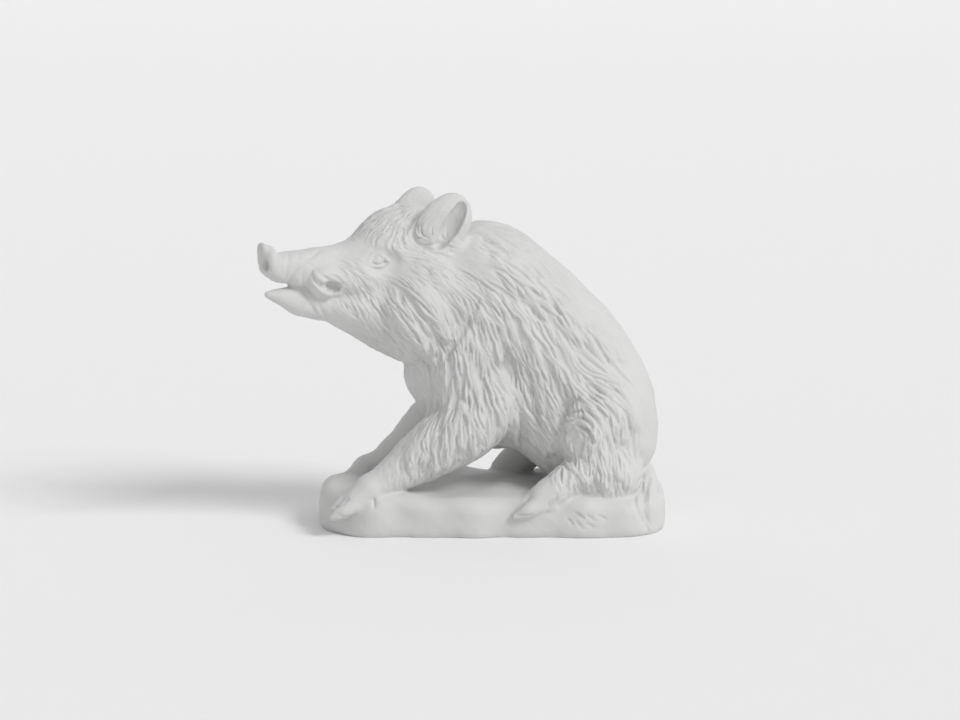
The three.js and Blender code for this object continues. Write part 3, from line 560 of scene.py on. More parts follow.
# The coat as the photograph shows it: a pixel, the way of the strands there, their length and width
# in millimetres, and how high they stand. No height is bare clay.
STRANDS = np.array([
    # snout, muzzle, jaw and eye
    [275, 260, 1, 0, 8, 1.0, 0], [300, 256, 1, 0, 8, 1.0, 0], [330, 246, 1, 0, 8, 1.0, 0],
    [328, 284, 1, 0, 8, 1.0, 0], [300, 302, 1, 0, 8, 1.0, 0], [326, 306, 0.5, 0.87, 8, 1.0, 0.04],
    [348, 325, 0.6, 0.8, 9, 1.1, 0.06], [352, 300, 0.45, 0.9, 9, 1.0, 0.3],
    [352, 272, 0.6, 0.8, 9, 0.9, 0.2], [363, 300, 0.5, 0.87, 11, 1.1, 0.36],
    [373, 318, 0.5, 0.87, 14, 1.3, 0.45], [384, 343, 0.55, 0.83, 12, 1.3, 0.5],
    [366, 338, 0.6, 0.8, 9, 1.2, 0.12], [379, 260, 1, 0, 8, 1.0, 0], [396, 262, 1, 0, 8, 1.0, 0],
    [364, 247, 1, 0, 8, 1.0, 0.02], [348, 247, 0.8, -0.6, 8, 0.9, 0.14], [404, 272, 1, 0.4, 8, 1.0, 0.03],
    # forehead
    [376, 240, -0.5, 0.87, 9, 1.2, 0.3], [385, 222, -0.6, 0.8, 14, 1.4, 0.66],
    [400, 206, -0.62, 0.78, 14, 1.4, 0.66], [408, 225, -0.45, 0.9, 13, 1.4, 0.66],
    [398, 240, -0.42, 0.9, 9, 1.3, 0.44], [372, 227, -0.6, 0.8, 12, 1.3, 0.52],
    [360, 240, -0.6, 0.8, 9, 1.1, 0.1],
    # ear and its base
    [415, 240, 0.9, 0.3, 8, 1.1, 0.38], [424, 248, 1, 0.12, 9, 1.1, 0.44], [430, 258, 1, 0.2, 10, 1.2, 0.5],
    [421, 220, -0.6, 0.8, 10, 1.2, 0.2], [435, 209, -0.6, 0.8, 9, 1.2, 0.1],
    [443, 226, -0.5, 0.85, 8, 1.1, 0.12], [455, 219, -0.5, 0.87, 8, 1.1, 0.1],
    [464, 228, -0.5, 0.87, 8, 1.1, 0.12], [446, 246, 1, 0.1, 7, 1.1, 0.3],
    # ruff
    [385, 286, 0.6, 0.8, 12, 1.3, 0.15], [396, 300, 0.62, 0.78, 17, 1.5, 0.5],
    [412, 291, 0.7, 0.7, 16, 1.5, 0.45], [426, 286, 0.75, 0.66, 15, 1.5, 0.32],
    [440, 291, 0.7, 0.7, 14, 1.5, 0.2], [448, 304, 0.6, 0.8, 14, 1.5, 0.12],
    [405, 320, 0.56, 0.83, 18, 1.6, 0.6], [420, 311, 0.62, 0.78, 18, 1.6, 0.55],
    [433, 326, 0.6, 0.8, 17, 1.6, 0.58], [395, 336, 0.6, 0.8, 14, 1.5, 0.48],
    [412, 344, 0.5, 0.87, 12, 1.6, 0.65], [425, 356, 0.2, 0.98, 8, 1.6, 0.6],
    [440, 345, 0.3, 0.95, 11, 1.6, 0.6], [451, 328, 0.35, 0.94, 13, 1.6, 0.5],
    [386, 353, 0.5, 0.87, 9, 1.4, 0.5],
    # sheaf from the ear's base, then the bare stretch behind it
    [429, 269, 0.8, 0.6, 10, 1.3, 0.3], [441, 272, 0.78, 0.62, 17, 1.6, 0.6],
    [455, 285, 0.75, 0.66, 17, 1.6, 0.6], [468, 298, 0.6, 0.8, 15, 1.6, 0.6],
    [476, 311, 0.3, 0.95, 12, 1.6, 0.45], [470, 330, 0, 1, 10, 1.5, 0.22],
    [465, 254, 0.8, 0.5, 10, 1.6, 0.04], [481, 263, 0.8, 0.5, 10, 1.6, 0.08],
    [453, 262, 0.8, 0.5, 9, 1.5, 0.05],
    # mane
    [476, 222, 1, 0.2, 12, 1.8, 0.25], [489, 226, 1, 0.28, 14, 1.8, 0.42],
    [506, 236, 0.9, 0.43, 14, 2.0, 0.42], [492, 243, 0.87, 0.5, 14, 2.1, 0.5],
    [510, 256, 0.8, 0.6, 15, 2.2, 0.5], [526, 246, 0.85, 0.52, 14, 2.0, 0.4],
    [546, 266, 0.7, 0.7, 16, 2.1, 0.4], [530, 280, 0.75, 0.66, 16, 2.3, 0.52],
    [550, 300, 0.6, 0.8, 17, 2.2, 0.6], [561, 285, 0.57, 0.82, 17, 2.1, 0.5],
    [576, 297, 0.6, 0.8, 16, 2.1, 0.34], [585, 330, 0.6, 0.8, 18, 2.2, 0.5],
    [600, 350, 0.5, 0.87, 17, 2.1, 0.45], [601, 326, 0.5, 0.87, 15, 2.0, 0.25],
    [612, 345, 0.25, 0.97, 15, 1.9, 0.34], [562, 256, 0.8, 0.6, 14, 2.0, 0.2],
    [592, 291, 0.7, 0.7, 14, 2.0, 0.08], [618, 322, 0.5, 0.87, 12, 2.0, 0.04],
    [630, 360, 0.4, 0.9, 10, 2.0, 0.02], [640, 400, 0.2, 0.98, 10, 2.0, 0.02],
    [645, 440, 0, 1, 10, 2.0, 0.02],
    # shoulder and foreleg
    [495, 290, 0.8, 0.6, 14, 1.6, 0.35], [490, 305, 0.65, 0.76, 18, 1.6, 0.55],
    [506, 311, 0.5, 0.87, 18, 1.6, 0.55], [485, 331, 0.3, 0.95, 20, 1.6, 0.6],
    [501, 341, 0.3, 0.95, 20, 1.6, 0.6], [520, 331, 0.4, 0.92, 17, 1.7, 0.48],
    [464, 347, 0.12, 0.99, 17, 1.5, 0.6], [480, 370, 0.15, 0.99, 20, 1.6, 0.65],
    [500, 375, 0.25, 0.97, 19, 1.6, 0.65], [455, 371, 0.05, 1, 17, 1.5, 0.6],
    [441, 376, 0, 1, 15, 1.4, 0.5], [429, 391, 0, 1, 12, 1.3, 0.3], [416, 384, 0, 1, 10, 1.3, 0.05],
    [411, 402, 0, 1, 10, 1.3, 0.04], [450, 400, 0.05, 1, 17, 1.5, 0.6],
    [475, 401, 0.2, 0.98, 19, 1.6, 0.65], [495, 410, 0.25, 0.97, 17, 1.7, 0.65],
    [439, 416, 0, 1, 14, 1.4, 0.5], [436, 441, 0, 1, 12, 1.4, 0.5], [460, 431, 0.08, 1, 14, 1.5, 0.6],
    [485, 434, 0.22, 0.97, 15, 1.7, 0.68], [498, 436, 0.1, 1, 12, 1.7, 0.65],
    [471, 455, 0.1, 1, 11, 1.4, 0.55], [446, 461, 0.05, 1, 10, 1.3, 0.5], [421, 466, 0.02, 1, 9, 1.2, 0.46],
    [409, 478, 0, 1, 8, 1.2, 0.34], [398, 484, 0, 1, 7, 1.1, 0.12], [384, 496, 0, 1, 6, 1.0, 0.0],
    [360, 508, 0, 1, 6, 1.0, 0.0], [405, 450, 0, 1, 7, 1.1, 0.1],
    # flank and belly
    [524, 302, 0.6, 0.8, 14, 1.8, 0.26], [545, 330, 0.5, 0.87, 15, 1.8, 0.3],
    [535, 350, 0.45, 0.9, 17, 1.7, 0.5], [556, 350, 0.42, 0.91, 16, 1.8, 0.34],
    [572, 360, 0.45, 0.9, 14, 1.8, 0.24], [530, 375, 0.35, 0.94, 18, 1.6, 0.56],
    [550, 385, 0.35, 0.94, 18, 1.6, 0.6], [570, 386, 0.4, 0.92, 15, 1.6, 0.56],
    [545, 406, 0.35, 0.94, 16, 1.6, 0.65], [565, 405, 0.45, 0.9, 13, 1.6, 0.6],
    [520, 401, 0.3, 0.95, 17, 1.6, 0.6], [515, 430, 0.28, 0.96, 12, 1.7, 0.5],
    [530, 421, 0.5, 0.87, 13, 1.8, 0.6], [545, 426, 0.6, 0.8, 12, 1.8, 0.65],
    [560, 431, 0.3, 0.95, 9, 1.6, 0.5], [520, 448, 0.4, 0.92, 9, 1.6, 0.55],
    [541, 450, 0.3, 0.95, 9, 1.6, 0.5], [556, 448, 0.3, 0.95, 8, 1.6, 0.45],
    # thigh and shank
    [590, 370, 0.9, 0.45, 14, 2.0, 0.55], [610, 381, 0.8, 0.6, 14, 2.0, 0.6],
    [626, 401, 0.5, 0.87, 13, 1.9, 0.45], [601, 395, 0.87, 0.5, 14, 1.9, 0.65],
    [611, 431, 0.2, 0.98, 13, 1.7, 0.7], [626, 431, 0.1, 1, 12, 1.7, 0.56], [636, 431, 0, 1, 10, 1.7, 0.2],
    [600, 456, 0.2, 0.98, 12, 1.6, 0.7], [620, 461, 0.1, 1, 11, 1.6, 0.6],
    [570, 461, 0.3, 0.95, 11, 1.6, 0.58], [586, 481, 0.25, 0.97, 12, 1.5, 0.58],
    [606, 481, 0.15, 0.99, 11, 1.5, 0.52], [626, 481, 0.05, 1, 9, 1.5, 0.34],
    [640, 480, 0, 1, 8, 1.5, 0.12], [546, 486, 0, 1, 7, 1.4, 0.0], [566, 478, 0.3, 0.95, 9, 1.5, 0.5],
    [578, 492, 0.2, 0.98, 8, 1.5, 0.5], [535, 498, 0, 1, 7, 1.4, 0.0], [600, 494, 0.1, 1, 8, 1.5, 0.5],
    [620, 494, 0.05, 1, 8, 1.5, 0.4], [562, 500, 0, 1, 6, 1.4, 0.0],
])

# How far in pixels a row of the table reaches, and the share of the table's width to each side
STRAND_REACH = 9.0
HALF_WIDTH = 0.54

# How high strands and tufts stand for the table's height, and how many of them lie over each place
STRAND_RISE = 2.15
TUFT_RISE = 0.45
STRAND_COVER = 2.7
TUFT_COVER = 1.6
TUFT_SCALE = 2.0

# Cubes in which places near a strand or a tuft are looked for, wider than either
STRAND_CUBE = 1.5
TUFT_CUBE = 2.6

# The path of a strand: its strides, and how many pass before it is set back on the surface
STRAND_STRIDES = 18
SETTLE_EVERY = 3

# The side that the photograph doesn't show starts here and is a little plainer
FAR_SIDE = 8
FAR_SHARE = 0.85

# Hair that curls around the knee: the middle and radius in pixels
WHORL = (578, 438)
WHORL_RADIUS = 22

# The look-up map of the table, in pixels
MAP_LOW = np.array([240.0, 170.0])
MAP_HIGH = np.array([690.0, 560.0])
MAP_STEP = 3.0


def smoothstep(v, low, high):
    t = np.clip((v - low) / (high - low), 0, 1)
    return t * t * (3 - 2 * t)


# Way in the picture, length, width and height of the strands over the whole picture
def map_strands():
    rows = [np.arange(low, high, MAP_STEP) for low, high in zip(MAP_LOW, MAP_HIGH)]
    pixels = np.stack(np.meshgrid(*rows, indexing="ij"), -1).reshape(-1, 2)
    near = np.exp(-((pixels[:, None] - STRANDS[None, :, :2]) ** 2).sum(2) / (2 * STRAND_REACH**2)) + 1e-12
    near /= near.sum(1, keepdims=True)
    arm = pixels - WHORL
    reach = np.hypot(*arm.T)
    upper = smoothstep((0.6 * arm[:, 0] - 0.8 * arm[:, 1]) / (reach + 1), -0.7, 0.1)
    turning = (np.exp(-((reach / WHORL_RADIUS) ** 4)) * upper)[:, None]
    round_way = unit(np.stack([-arm[:, 1], arm[:, 0]], 1))
    way = unit(unit(near @ STRANDS[:, 2:4]) * (1 - turning) + round_way * turning)
    size = near @ STRANDS[:, 4:]
    size[:, 2] = np.maximum(size[:, 2], 0.65 * turning[:, 0]) * smoothstep(reach, 1, 6)
    return np.hstack([way, size]).reshape(len(rows[0]), len(rows[1]), 5)


strand_map = map_strands()


# Way in the picture, length, width and height of the strands at places of the left side
def strands_at(pixels):
    place = np.clip((pixels - MAP_LOW) / MAP_STEP, 0, np.array(strand_map.shape[:2]) - 1.001)
    cell = place.astype(int)
    s, t = (place - cell).T[:, :, None]
    i, j = cell.T
    found = ((strand_map[i, j] * (1 - s) + strand_map[i + 1, j] * s) * (1 - t)
             + (strand_map[i, j + 1] * (1 - s) + strand_map[i + 1, j + 1] * s) * t)
    return unit(found[:, :2]), *found[:, 2:].T


# Slow swing of the strands from side to side, the same for neighbours
def swing_at(p):
    x, y, z = p.T
    slow = 0.11 * np.sin(0.42 * x + 0.30 * z + 0.20 * y + 0.5)
    return slow + 0.17 * np.sin(0.86 * z + 0.33 * x - 0.3 * y + 1.2)


# Coat at places on the surface: the way in space, then length, width and height
def coat_at(p, out, of_head):
    twin = left_twin(p, of_head)
    way, length, width, height = strands_at(pixel_of(twin))
    turn = swing_at(p)
    across = way[:, 0] * np.cos(turn) - way[:, 1] * np.sin(turn)
    down = way[:, 0] * np.sin(turn) + way[:, 1] * np.cos(turn)
    space = np.stack([across, np.zeros(len(p)), -down], 1)
    local = to_head(space + HEAD_PIVOT)
    far = of_head & (to_head(p)[:, 1] < 0)
    local[:, 1] *= np.where(far, -1, 1)
    space = np.where(far[:, None], from_head(local) - HEAD_PIVOT, space)
    space = unit(space - out * (space * out).sum(1)[:, None])
    return space, length, width, height


# Where the coat may grow: not on the slab, the feet or the tail, nor on the inner sides of the legs
def coat_room(p, out, of_head):
    outward = np.where(of_head, 1, -out[:, 1] * np.where(p[:, 1] < 0, 1, -1))
    inner = smoothstep(outward, -0.45, 0.05)
    low = smoothstep(p[:, 2], 55, 75)
    room = np.maximum(low, inner) * smoothstep(slab_distance(p), 0.3, 2.2)
    return room * smoothstep(bare_feet.at(p), 0.4, 2.0)


# Polylines of strands over the surface: places, and the half width and height at each
def grow_strands(places, normals, of_head, length, chance, scale):
    chosen = np.nonzero(dice.random(len(places)) < chance)[0]
    place, out = places[chosen], normals[chosen]
    of_head = of_head[chosen]
    length = length[chosen] * scale * dice.uniform(0.55, 1.1, len(chosen))
    own_turn = dice.normal(0, 0.06, len(chosen))
    own_width = scale * dice.uniform(0.75, 1.2, len(chosen))
    own_height = dice.uniform(0.7, 1.15, len(chosen))
    line, half, tall = [], [], []
    for i in range(STRAND_STRIDES + 1):
        share = i / STRAND_STRIDES
        if i % SETTLE_EVERY == 0:
            out = slope_at(boar, place)
            place = place - out * np.clip(boar(place), -0.5, 0.5)[:, None]
        way, _, width, height = coat_at(place, out, of_head)
        way = way * np.cos(own_turn)[:, None] + np.cross(out, way) * np.sin(own_turn)[:, None]
        body = sin(pi * (0.06 + 0.88 * share)) ** 0.6
        line.append(place)
        half.append(width * own_width * HALF_WIDTH * body)
        tall.append(height * own_height * body)
        place = place + way * (length / STRAND_STRIDES)[:, None]
    return np.array(line), np.array(half), np.array(tall)


# Hash of the mesh's places into cubes, for quick search
class Cubes:
    def __init__(self, places, size):
        self.size = size
        self.low = places.min(0) - 2 * size
        self.counts = ((places.max(0) - self.low) / size).astype(int) + 4
        keys = self.keys_of(((places - self.low) / size).astype(int))
        self.order = np.argsort(keys, kind="stable")
        self.keys = keys[self.order]

    def keys_of(self, index):
        return (index[:, 0] * self.counts[1] + index[:, 1]) * self.counts[2] + index[:, 2]

    # Pairs of a query and a mesh place in the same or a touching cube
    def pairs(self, queries):
        index = ((queries - self.low) / self.size).astype(int)
        steps = np.array([(i, j) for i in (-1, 0, 1) for j in (-1, 0, 1)])
        for i, j in steps:
            first = self.keys_of(index + [i, j, -1])
            starts = np.searchsorted(self.keys, first)
            ends = np.searchsorted(self.keys, first + 2, side="right")
            counts = ends - starts
            owner = np.repeat(np.arange(len(queries)), counts)
            offset = np.arange(counts.sum()) - np.repeat(counts.cumsum() - counts, counts)
            yield owner, self.order[np.repeat(starts, counts) + offset]


# Highest of the ridges that lie over each place of the mesh
def lay_ridges(cubes, places, normals, line, half, tall, sharp, chunk=30000):
    relief = np.zeros(len(places))
    a = line[:-1].reshape(-1, 3)
    b = line[1:].reshape(-1, 3)
    half_a, half_b = half[:-1].ravel(), half[1:].ravel()
    tall_a, tall_b = tall[:-1].ravel(), tall[1:].ravel()
    for start in range(0, len(a), chunk):
        part = slice(start, start + chunk)
        middle = (a[part] + b[part]) / 2
        for owner, mesh in cubes.pairs(middle):
            owner = owner + start
            stretch = b[owner] - a[owner]
            arm = places[mesh] - a[owner]
            arm -= normals[mesh] * (arm * normals[mesh]).sum(1)[:, None]
            t = np.clip((arm * stretch).sum(1) / np.maximum((stretch * stretch).sum(1), 1e-9), 0, 1)
            away = np.linalg.norm(arm - stretch * t[:, None], axis=1)
            reach = half_a[owner] + (half_b[owner] - half_a[owner]) * t
            high = tall_a[owner] + (tall_b[owner] - tall_a[owner]) * t
            share = np.clip(1 - (away / np.maximum(reach, 1e-3)) ** 2, 0, 1)
            np.maximum.at(relief, mesh, high * share**sharp)
    return relief


# Strokes of the modelling tool: pixels along each, half width and depth in millimetres.
# A negative depth is a raised line.
FACE_STROKES = [
    ([(283, 256), (282, 266), (284, 275)], 0.8, 0.16),
    ([(290, 254), (289.5, 264), (288, 274), (286.5, 280)], 0.9, 0.3),
    ([(300.5, 253), (299, 262), (297, 267)], 1.0, 0.2),
    ([(322, 250), (311, 259.5), (299.5, 268.5), (293, 276), (289.5, 284)], 1.0, 0.5),
    ([(306, 268), (303.5, 277), (304, 285), (308, 291)], 1.0, 0.4),
    ([(309, 264), (316, 269), (326, 273)], 0.8, 0.2),
    ([(314, 253), (328, 252), (338, 250)], 0.9, 0.1),
    ([(322, 256), (338, 254), (346, 246)], 0.9, 0.16),
    ([(328, 262), (342, 259), (352, 248)], 0.9, 0.14),
    ([(306, 294), (310, 302), (317, 314)], 1.2, 0.5),
    ([(320, 304), (323, 312), (328, 319)], 1.1, 0.4),
    ([(305, 292.5), (313, 295.5), (321, 297)], 1.2, -0.3),
    ([(313, 298), (317, 307), (323, 318)], 1.2, -0.28),
    ([(342, 297), (352, 312), (362, 322)], 1.2, 0.25),
    ([(338, 268), (348, 277), (354, 290)], 0.9, 0.2),
    # lids, with a crease over the upper one
    ([(367.5, 263), (371, 256.5), (378, 252.8), (384, 255.5), (388, 261.5)], 0.8, -0.5),
    ([(368, 256), (376, 249), (386, 251), (392, 259)], 0.9, 0.3),
    ([(371.5, 261), (374, 257.4), (378.5, 255.8), (382.5, 257.4)], 0.6, 0.45),
    ([(371.5, 262.8), (376, 264.8), (381.5, 263.8)], 0.6, 0.35),
    ([(367.5, 264.5), (374, 267), (381, 266.8), (387, 263.5)], 0.8, -0.36),
    ([(364, 265), (369, 264)], 1.0, 0.4),
    ([(384.6, 260.4), (387.6, 262)], 1.3, -1.0),
    ([(373.6, 259.6), (375.4, 258.4)], 1.1, 0.6),
    # tusk, the groove below it, and the pocket's rims
    ([(315.5, 274.5), (321, 279.5), (327, 283.6)], 1.5, -0.8),
    ([(314.5, 279), (318.5, 285), (326, 289.5)], 1.1, 0.7),
    ([(320, 272), (330, 277), (339, 281.5), (344, 288)], 1.1, -0.55),
    ([(315, 284.5), (323, 292), (333, 296), (342, 294)], 1.2, -0.5),
]
BROAD_FACE_STROKES = [
    # tusk's pocket, then the dip below it
    ([(328, 284), (333, 287.5), (338.5, 290.5)], 2.5, 2.0),
    ([(326, 299), (336, 303)], 2.2, 0.6),
    # crease in front of the ear
    ([(413, 218), (405, 230), (397, 244)], 2.2, 1.4),
]
LEFT_STROKES = [
    # ruff's edge against the shoulder
    ([(478, 300), (472, 316), (464, 328), (454, 343), (446, 360)], 2.6, 1.8),
    # mane's grooves
    ([(482, 238), (494, 246), (507, 253)], 2.0, 1.2),
    ([(515, 262), (526, 269), (537, 279)], 2.0, 1.2),
    ([(536, 282), (546, 292), (553, 305), (560, 314)], 2.2, 1.5),
    ([(566, 314), (576, 326), (588, 341)], 1.9, 1.3),
    ([(592, 335), (602, 352), (608, 362)], 1.7, 1.2),
    ([(610, 333), (613, 345), (618, 357)], 1.2, 0.7),
    ([(527, 305), (535, 315), (544, 322)], 1.7, 1.1),
    # hollow between flank and thigh, the fold before the knee, then the hollow behind the elbow
    ([(584, 384), (596, 389), (610, 396)], 2.2, 1.5),
    ([(577, 398), (566, 407), (561, 420), (564, 438)], 2.6, 1.7),
    ([(514, 404), (512, 420), (510, 436), (513, 446)], 2.4, 1.2),
    # arcs of hair around the knee
    ([(562, 418), (572, 412.5), (585, 411.5), (595, 418), (602, 431)], 1.3, 1.0),
    ([(571, 421), (582, 418), (591, 425), (597, 438)], 1.2, 1.0),
    ([(580, 426), (587, 429), (591.5, 436), (592, 444)], 1.2, 1.1),
    ([(573, 424), (579, 432), (584, 442)], 1.5, -0.6),
]
BASE_STROKES = [
    # near forefoot, then near hind foot
    ([(349, 498), (342, 505), (334, 507.5)], 1.0, 0.6),
    ([(338, 514.6), (347, 517), (356, 513.4)], 1.0, 0.45),
    ([(374, 498), (374.4, 503), (374, 508)], 1.0, 1.0),
    ([(378, 507), (383, 507)], 1.2, -0.3),
    ([(357, 502), (361, 504)], 1.2, 0.25),
    ([(528.6, 498.6), (522, 505), (515, 513)], 0.9, 0.5),
    ([(516, 514.2), (523, 515), (531, 514.2)], 0.8, 0.7),
    ([(557, 493), (555, 499), (549, 504), (547, 507)], 1.1, 0.8),
    ([(561, 494), (559, 501), (553, 506)], 1.2, -0.3),
    # tail
    ([(644, 475), (638, 484), (635, 494), (635.5, 504), (640, 514), (645, 525), (650, 532)], 1.4, 0.9),
    ([(650, 479), (646.6, 490), (646, 502), (646, 514), (647, 524)], 1.7, 1.1),
    ([(641, 486), (639.5, 496), (641, 506)], 1.6, -0.5),
    ([(649, 508), (648.6, 520), (651.5, 527)], 1.0, 0.6),
    ([(642.5, 484), (641.5, 496), (643, 508), (647, 520)], 2.3, 1.0),
    ([(655, 484), (657, 502), (656, 522)], 2.2, -0.5),
    # rows of shallow marks in the clay
    ([(568.5, 519), (572.5, 523.4)], 0.9, 0.8),
    ([(575.5, 512.5), (579, 514.5), (584.5, 518.6)], 0.9, 0.7),
    ([(587, 515), (594, 519.6)], 0.9, 0.75),
    ([(598.5, 515.5), (606.5, 518.6)], 0.9, 0.75),
    ([(577, 521.5), (581.5, 527.6)], 0.9, 0.75),
    ([(587.5, 524), (593, 526.6)], 0.9, 0.75),
]


# A stroke's smooth line on the surface, and where asked its twin on the right side
def stroke_lines(strokes, twins):
    lines = []
    for pixels, half, depth in strokes:
        rows = smooth_rows([(*p, 0, 0) for p in pixels], 6)[:, :2]
        left = seen_at(rows)
        lines.append((left, half, depth))
        if twins:
            local = to_head(left)
            local[:, 1] *= -1
            right = from_head(local)
            if twins == "body":
                right = left * [1, -1, 1]
            lines.append((right, half, depth))
    return lines


def lay_strokes(cubes, places, normals, lines):
    relief = np.zeros(len(places))
    for line, half, depth in lines:
        line = line - slope_at(boar, line) * boar(line)[:, None]
        count = len(line)
        taper = np.sin(pi * np.linspace(0.1, 0.9, count)) ** 0.5
        ridge = lay_ridges(cubes, places, normals, line[:, None], (half * taper)[:, None],
                           (abs(depth) * taper)[:, None], 1.4)
        relief -= np.sign(depth) * ridge
    return relief


# A little lumpiness of worked clay on the slab and the bare parts
def clay_lumps(p):
    x, y, z = p.T
    across = np.sin(0.33 * x + 0.21 * y + 1.1) * np.sin(0.29 * y - 0.2 * z + 0.4)
    broad = across + 0.6 * np.sin(0.5 * z + 0.24 * x)
    fine = np.sin(0.83 * x - 0.4 * y + 0.3 * z) * np.sin(0.75 * y + 0.5 * z + 2.0)
    return 0.14 * broad + 0.06 * fine


# How far each place is moved out: strands over broader tufts, the tool's strokes, and the worked clay
def relief_of(places, normals, triangles):
    a, b, c = [places[triangles[:, i]] for i in range(3)]
    area = np.linalg.norm(np.cross(b - a, c - a), axis=1).sum() / 2 / len(places)
    of_head = in_head(places)
    room = coat_room(places, normals, of_head)
    room *= np.where(places[:, 1] > FAR_SIDE, FAR_SHARE, 1)
    _, length, width, height = coat_at(places, normals, of_head)
    hairy = smoothstep(height * room, 0.03, 0.12)

    def ridges(cubes, cover, scale, sharp):
        chance = cover * area / (length * width * scale**2) * hairy
        grown = grow_strands(places, normals, of_head, length, chance, scale)
        return lay_ridges(cubes, places, normals, *grown, sharp)

    cubes = Cubes(places, STRAND_CUBE)
    clumps = Cubes(places, TUFT_CUBE)
    strands = ridges(cubes, STRAND_COVER, 1.0, 0.7)
    tufts = ridges(clumps, TUFT_COVER, TUFT_SCALE, 1.2)
    strokes = stroke_lines(FACE_STROKES, "head") + stroke_lines(BASE_STROKES, "")
    carved = lay_strokes(cubes, places, normals, strokes)
    broad = stroke_lines(LEFT_STROKES, "body") + stroke_lines(BROAD_FACE_STROKES, "head")
    carved += lay_strokes(clumps, places, normals, broad)
    bare = 1 - smoothstep(height * room, 0.05, 0.3)
    coat_relief = STRAND_RISE * (strands - 0.6 * height) + TUFT_RISE * (tufts - 0.5 * height)
    return coat_relief * room + carved + clay_lumps(places) * (0.35 + bare)


def build_form():
    places, squares = surface_of(boar)
    triangles = halves_of(squares)
    places = settle(boar, places, triangles, 3)
    places, triangles = finer(places, triangles)
    places = settle(boar, places, triangles, 2)
    places, triangles = finer(places, triangles)
    places = settle(boar, places, triangles, 1)
    normals = normals_of(places, triangles)
    places = places + normals * relief_of(places, normals, triangles)[:, None]
    places[:, 2] = np.maximum(places[:, 2], TABLE_TOP)
    return places, triangles


def mesh_of(name, places, triangles):
    mesh = bpy.data.meshes.new(name)
    mesh.vertices.add(len(places))
    mesh.vertices.foreach_set("co", (places / 1000).astype(np.float32).ravel())
    mesh.loops.add(3 * len(triangles))
    mesh.loops.foreach_set("vertex_index", triangles.astype(np.int32).ravel())
    mesh.polygons.add(len(triangles))
    mesh.polygons.foreach_set("loop_start", np.arange(0, 3 * len(triangles), 3, dtype=np.int32))
    mesh.update(calc_edges=True)
    mesh.validate()
    return mesh


# Thins the fine mesh where it is smooth, and keeps it where the coat needs it
def thinned(mesh, name):
    holder = bpy.data.objects.new("fine_form", mesh)
    bpy.context.collection.objects.link(holder)
    thin = holder.modifiers.new("thin", "DECIMATE")
    thin.ratio = TRIANGLES / len(mesh.polygons)
    depsgraph = bpy.context.evaluated_depsgraph_get()
    result = bpy.data.meshes.new_from_object(holder.evaluated_get(depsgraph))
    bpy.data.objects.remove(holder)
    result.name = name
    result.shade_smooth()
    return result


# Evens out the few folds that thinning leaves, each place moved to the middle of its neighbours
def even_out_folds(mesh):
    flat = np.empty(3 * len(mesh.vertices), np.float32)
    mesh.vertices.foreach_get("co", flat)
    places = flat.reshape(-1, 3).astype(float)
    corners = np.empty(3 * len(mesh.polygons), np.int32)
    mesh.loops.foreach_get("vertex_index", corners)
    triangles = corners.reshape(-1, 3).astype(np.int64)
    sides = np.vstack([triangles[:, [0, 1]], triangles[:, [1, 2]], triangles[:, [2, 0]]])
    keys = sides.min(1) * len(places) + sides.max(1)
    order = np.argsort(keys, kind="stable")
    shared = keys[order[1:]] == keys[order[:-1]]
    first = order[:-1][shared] % len(triangles)
    second = order[1:][shared] % len(triangles)
    neighbours = np.bincount(sides[:, 0], minlength=len(places))
    for _ in range(FOLD_ROUNDS):
        a, b, c = [places[triangles[:, i]] for i in range(3)]
        out = unit(np.cross(b - a, c - a))
        folded = (out[first] * out[second]).sum(1) < FOLD_LIMIT
        moved = np.unique(triangles[np.concatenate([first[folded], second[folded]])])
        total = [np.bincount(sides[:, 0], places[sides[:, 1], i], len(places)) for i in range(3)]
        middles = np.stack(total, 1) / np.maximum(neighbours, 1)[:, None]
        moved = moved[np.linalg.norm(middles[moved] - places[moved], axis=1) < FOLD_REACH]
        places[moved] = middles[moved]
    mesh.vertices.foreach_set("co", places.astype(np.float32).ravel())
    mesh.update()


# White unglazed porcelain: matt and fine-grained
def porcelain():
    material = bpy.data.materials.new("bisque")
    material.use_nodes = True
    nodes, links = material.node_tree.nodes, material.node_tree.links
    shader = nodes["Principled BSDF"]
    shader.inputs["Roughness"].default_value = 0.62
    shader.inputs["Specular IOR Level"].default_value = 0.35
    place = nodes.new("ShaderNodeTexCoord")
    tone = nodes.new("ShaderNodeTexNoise")
    tone.inputs["Scale"].default_value = 26
    tone.inputs["Detail"].default_value = 6
    shade = nodes.new("ShaderNodeValToRGB")
    shade.color_ramp.elements[0].color = (0.60, 0.60, 0.595, 1)
    shade.color_ramp.elements[1].color = (0.645, 0.645, 0.64, 1)
    shade.color_ramp.elements[0].position = 0.35
    shade.color_ramp.elements[1].position = 0.65
    grain = nodes.new("ShaderNodeTexNoise")
    grain.inputs["Scale"].default_value = 1700
    grain.inputs["Detail"].default_value = 3
    bump = nodes.new("ShaderNodeBump")
    bump.inputs["Strength"].default_value = 0.12
    bump.inputs["Distance"].default_value = 0.0002
    links.new(place.outputs["Object"], tone.inputs["Vector"])
    links.new(place.outputs["Object"], grain.inputs["Vector"])
    links.new(tone.outputs["Fac"], shade.inputs["Fac"])
    links.new(shade.outputs["Color"], shader.inputs["Base Color"])
    links.new(grain.outputs["Fac"], bump.inputs["Height"])
    links.new(bump.outputs["Normal"], shader.inputs["Normal"])
    return material


def add_boar():
    places, triangles = build_form()
    mesh = thinned(mesh_of("fine_boar", places, triangles), "boar_form")
    even_out_folds(mesh)
    mesh.materials.clear()
    mesh.materials.append(porcelain())
    piece = bpy.data.objects.new("boar_form", mesh)
    bpy.context.collection.objects.link(piece)
    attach(piece, "root")
    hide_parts("boar_on_plinth")
    return piece


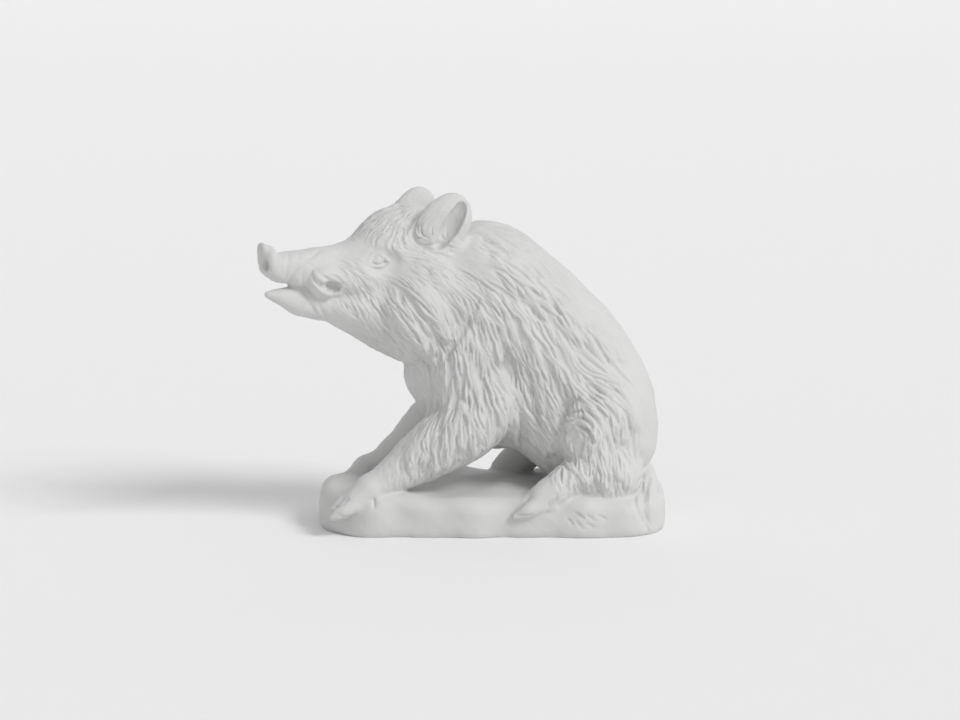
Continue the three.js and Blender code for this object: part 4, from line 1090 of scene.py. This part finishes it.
# A pale floor that curves up into the wall behind, in metres
def add_stage():
    front, depth, width, height = -4.0, 3.2, 4.0, 3.0
    bend, steps = 0.5, 12
    profile = [(front, 0.0)]
    for i in range(steps + 1):
        angle = radians(90) * i / steps
        profile.append((depth + bend * sin(angle), bend - bend * cos(angle)))
    profile.append((depth + bend, height))
    places = [(-side * width, y, z) for y, z in profile for side in SIDES]
    faces = [(2 * i, 2 * i + 1, 2 * i + 3, 2 * i + 2) for i in range(len(profile) - 1)]
    mesh = bpy.data.meshes.new("backdrop")
    mesh.from_pydata(places, [], faces)
    mesh.shade_smooth()
    paper = bpy.data.materials.new("backdrop")
    paper.use_nodes = True
    shader = paper.node_tree.nodes["Principled BSDF"]
    shader.inputs["Base Color"].default_value = (0.9, 0.9, 0.9, 1)
    shader.inputs["Roughness"].default_value = 0.9
    mesh.materials.append(paper)
    backdrop = bpy.data.objects.new("backdrop", mesh)
    bpy.context.collection.objects.link(backdrop)


# One broad soft light from the upper right, with even light all around
def add_lights():
    lamp = bpy.data.lights.new("key", "SUN")
    lamp.energy = 1.65
    lamp.angle = radians(22)
    key = bpy.data.objects.new("key", lamp)
    key.rotation_mode = "QUATERNION"
    key.rotation_quaternion = Vector(KEY_FROM).to_track_quat("Z", "Y")
    bpy.context.collection.objects.link(key)
    world = bpy.data.worlds.new("studio")
    world.use_nodes = True
    background = world.node_tree.nodes["Background"]
    background.inputs["Color"].default_value = (1, 1, 1, 1)
    background.inputs["Strength"].default_value = 0.56
    bpy.context.scene.world = world
    bpy.context.scene.view_settings.view_transform = "Standard"


# The photograph's view, from the boar's left and looking down a little
def add_camera():
    column, row = FRAME_MIDDLE
    back = Vector((0, -cos(CAMERA_RISE), sin(CAMERA_RISE)))
    aim_x = (column - MIDDLE_COLUMN) * PIXEL / 1000
    aim_z = ((TABLE_ROW - row) * PIXEL - TABLE_DROP) / cos(CAMERA_RISE) / 1000
    target = Vector((aim_x, 0, aim_z))
    lens = bpy.data.cameras.new("camera")
    lens.sensor_width = SENSOR * 1000
    lens.lens = SENSOR * 1000 * (CAMERA_DISTANCE - NEAR_SIDE) / (FRAME_WIDTH * PIXEL / 1000)
    camera = bpy.data.objects.new("camera", lens)
    camera.location = target + back * CAMERA_DISTANCE
    camera.rotation_mode = "QUATERNION"
    camera.rotation_quaternion = (-back).to_track_quat("-Z", "Y")
    bpy.context.collection.objects.link(camera)
    bpy.context.scene.camera = camera


add_camera()
add_stage()
add_lights()
add_boar()
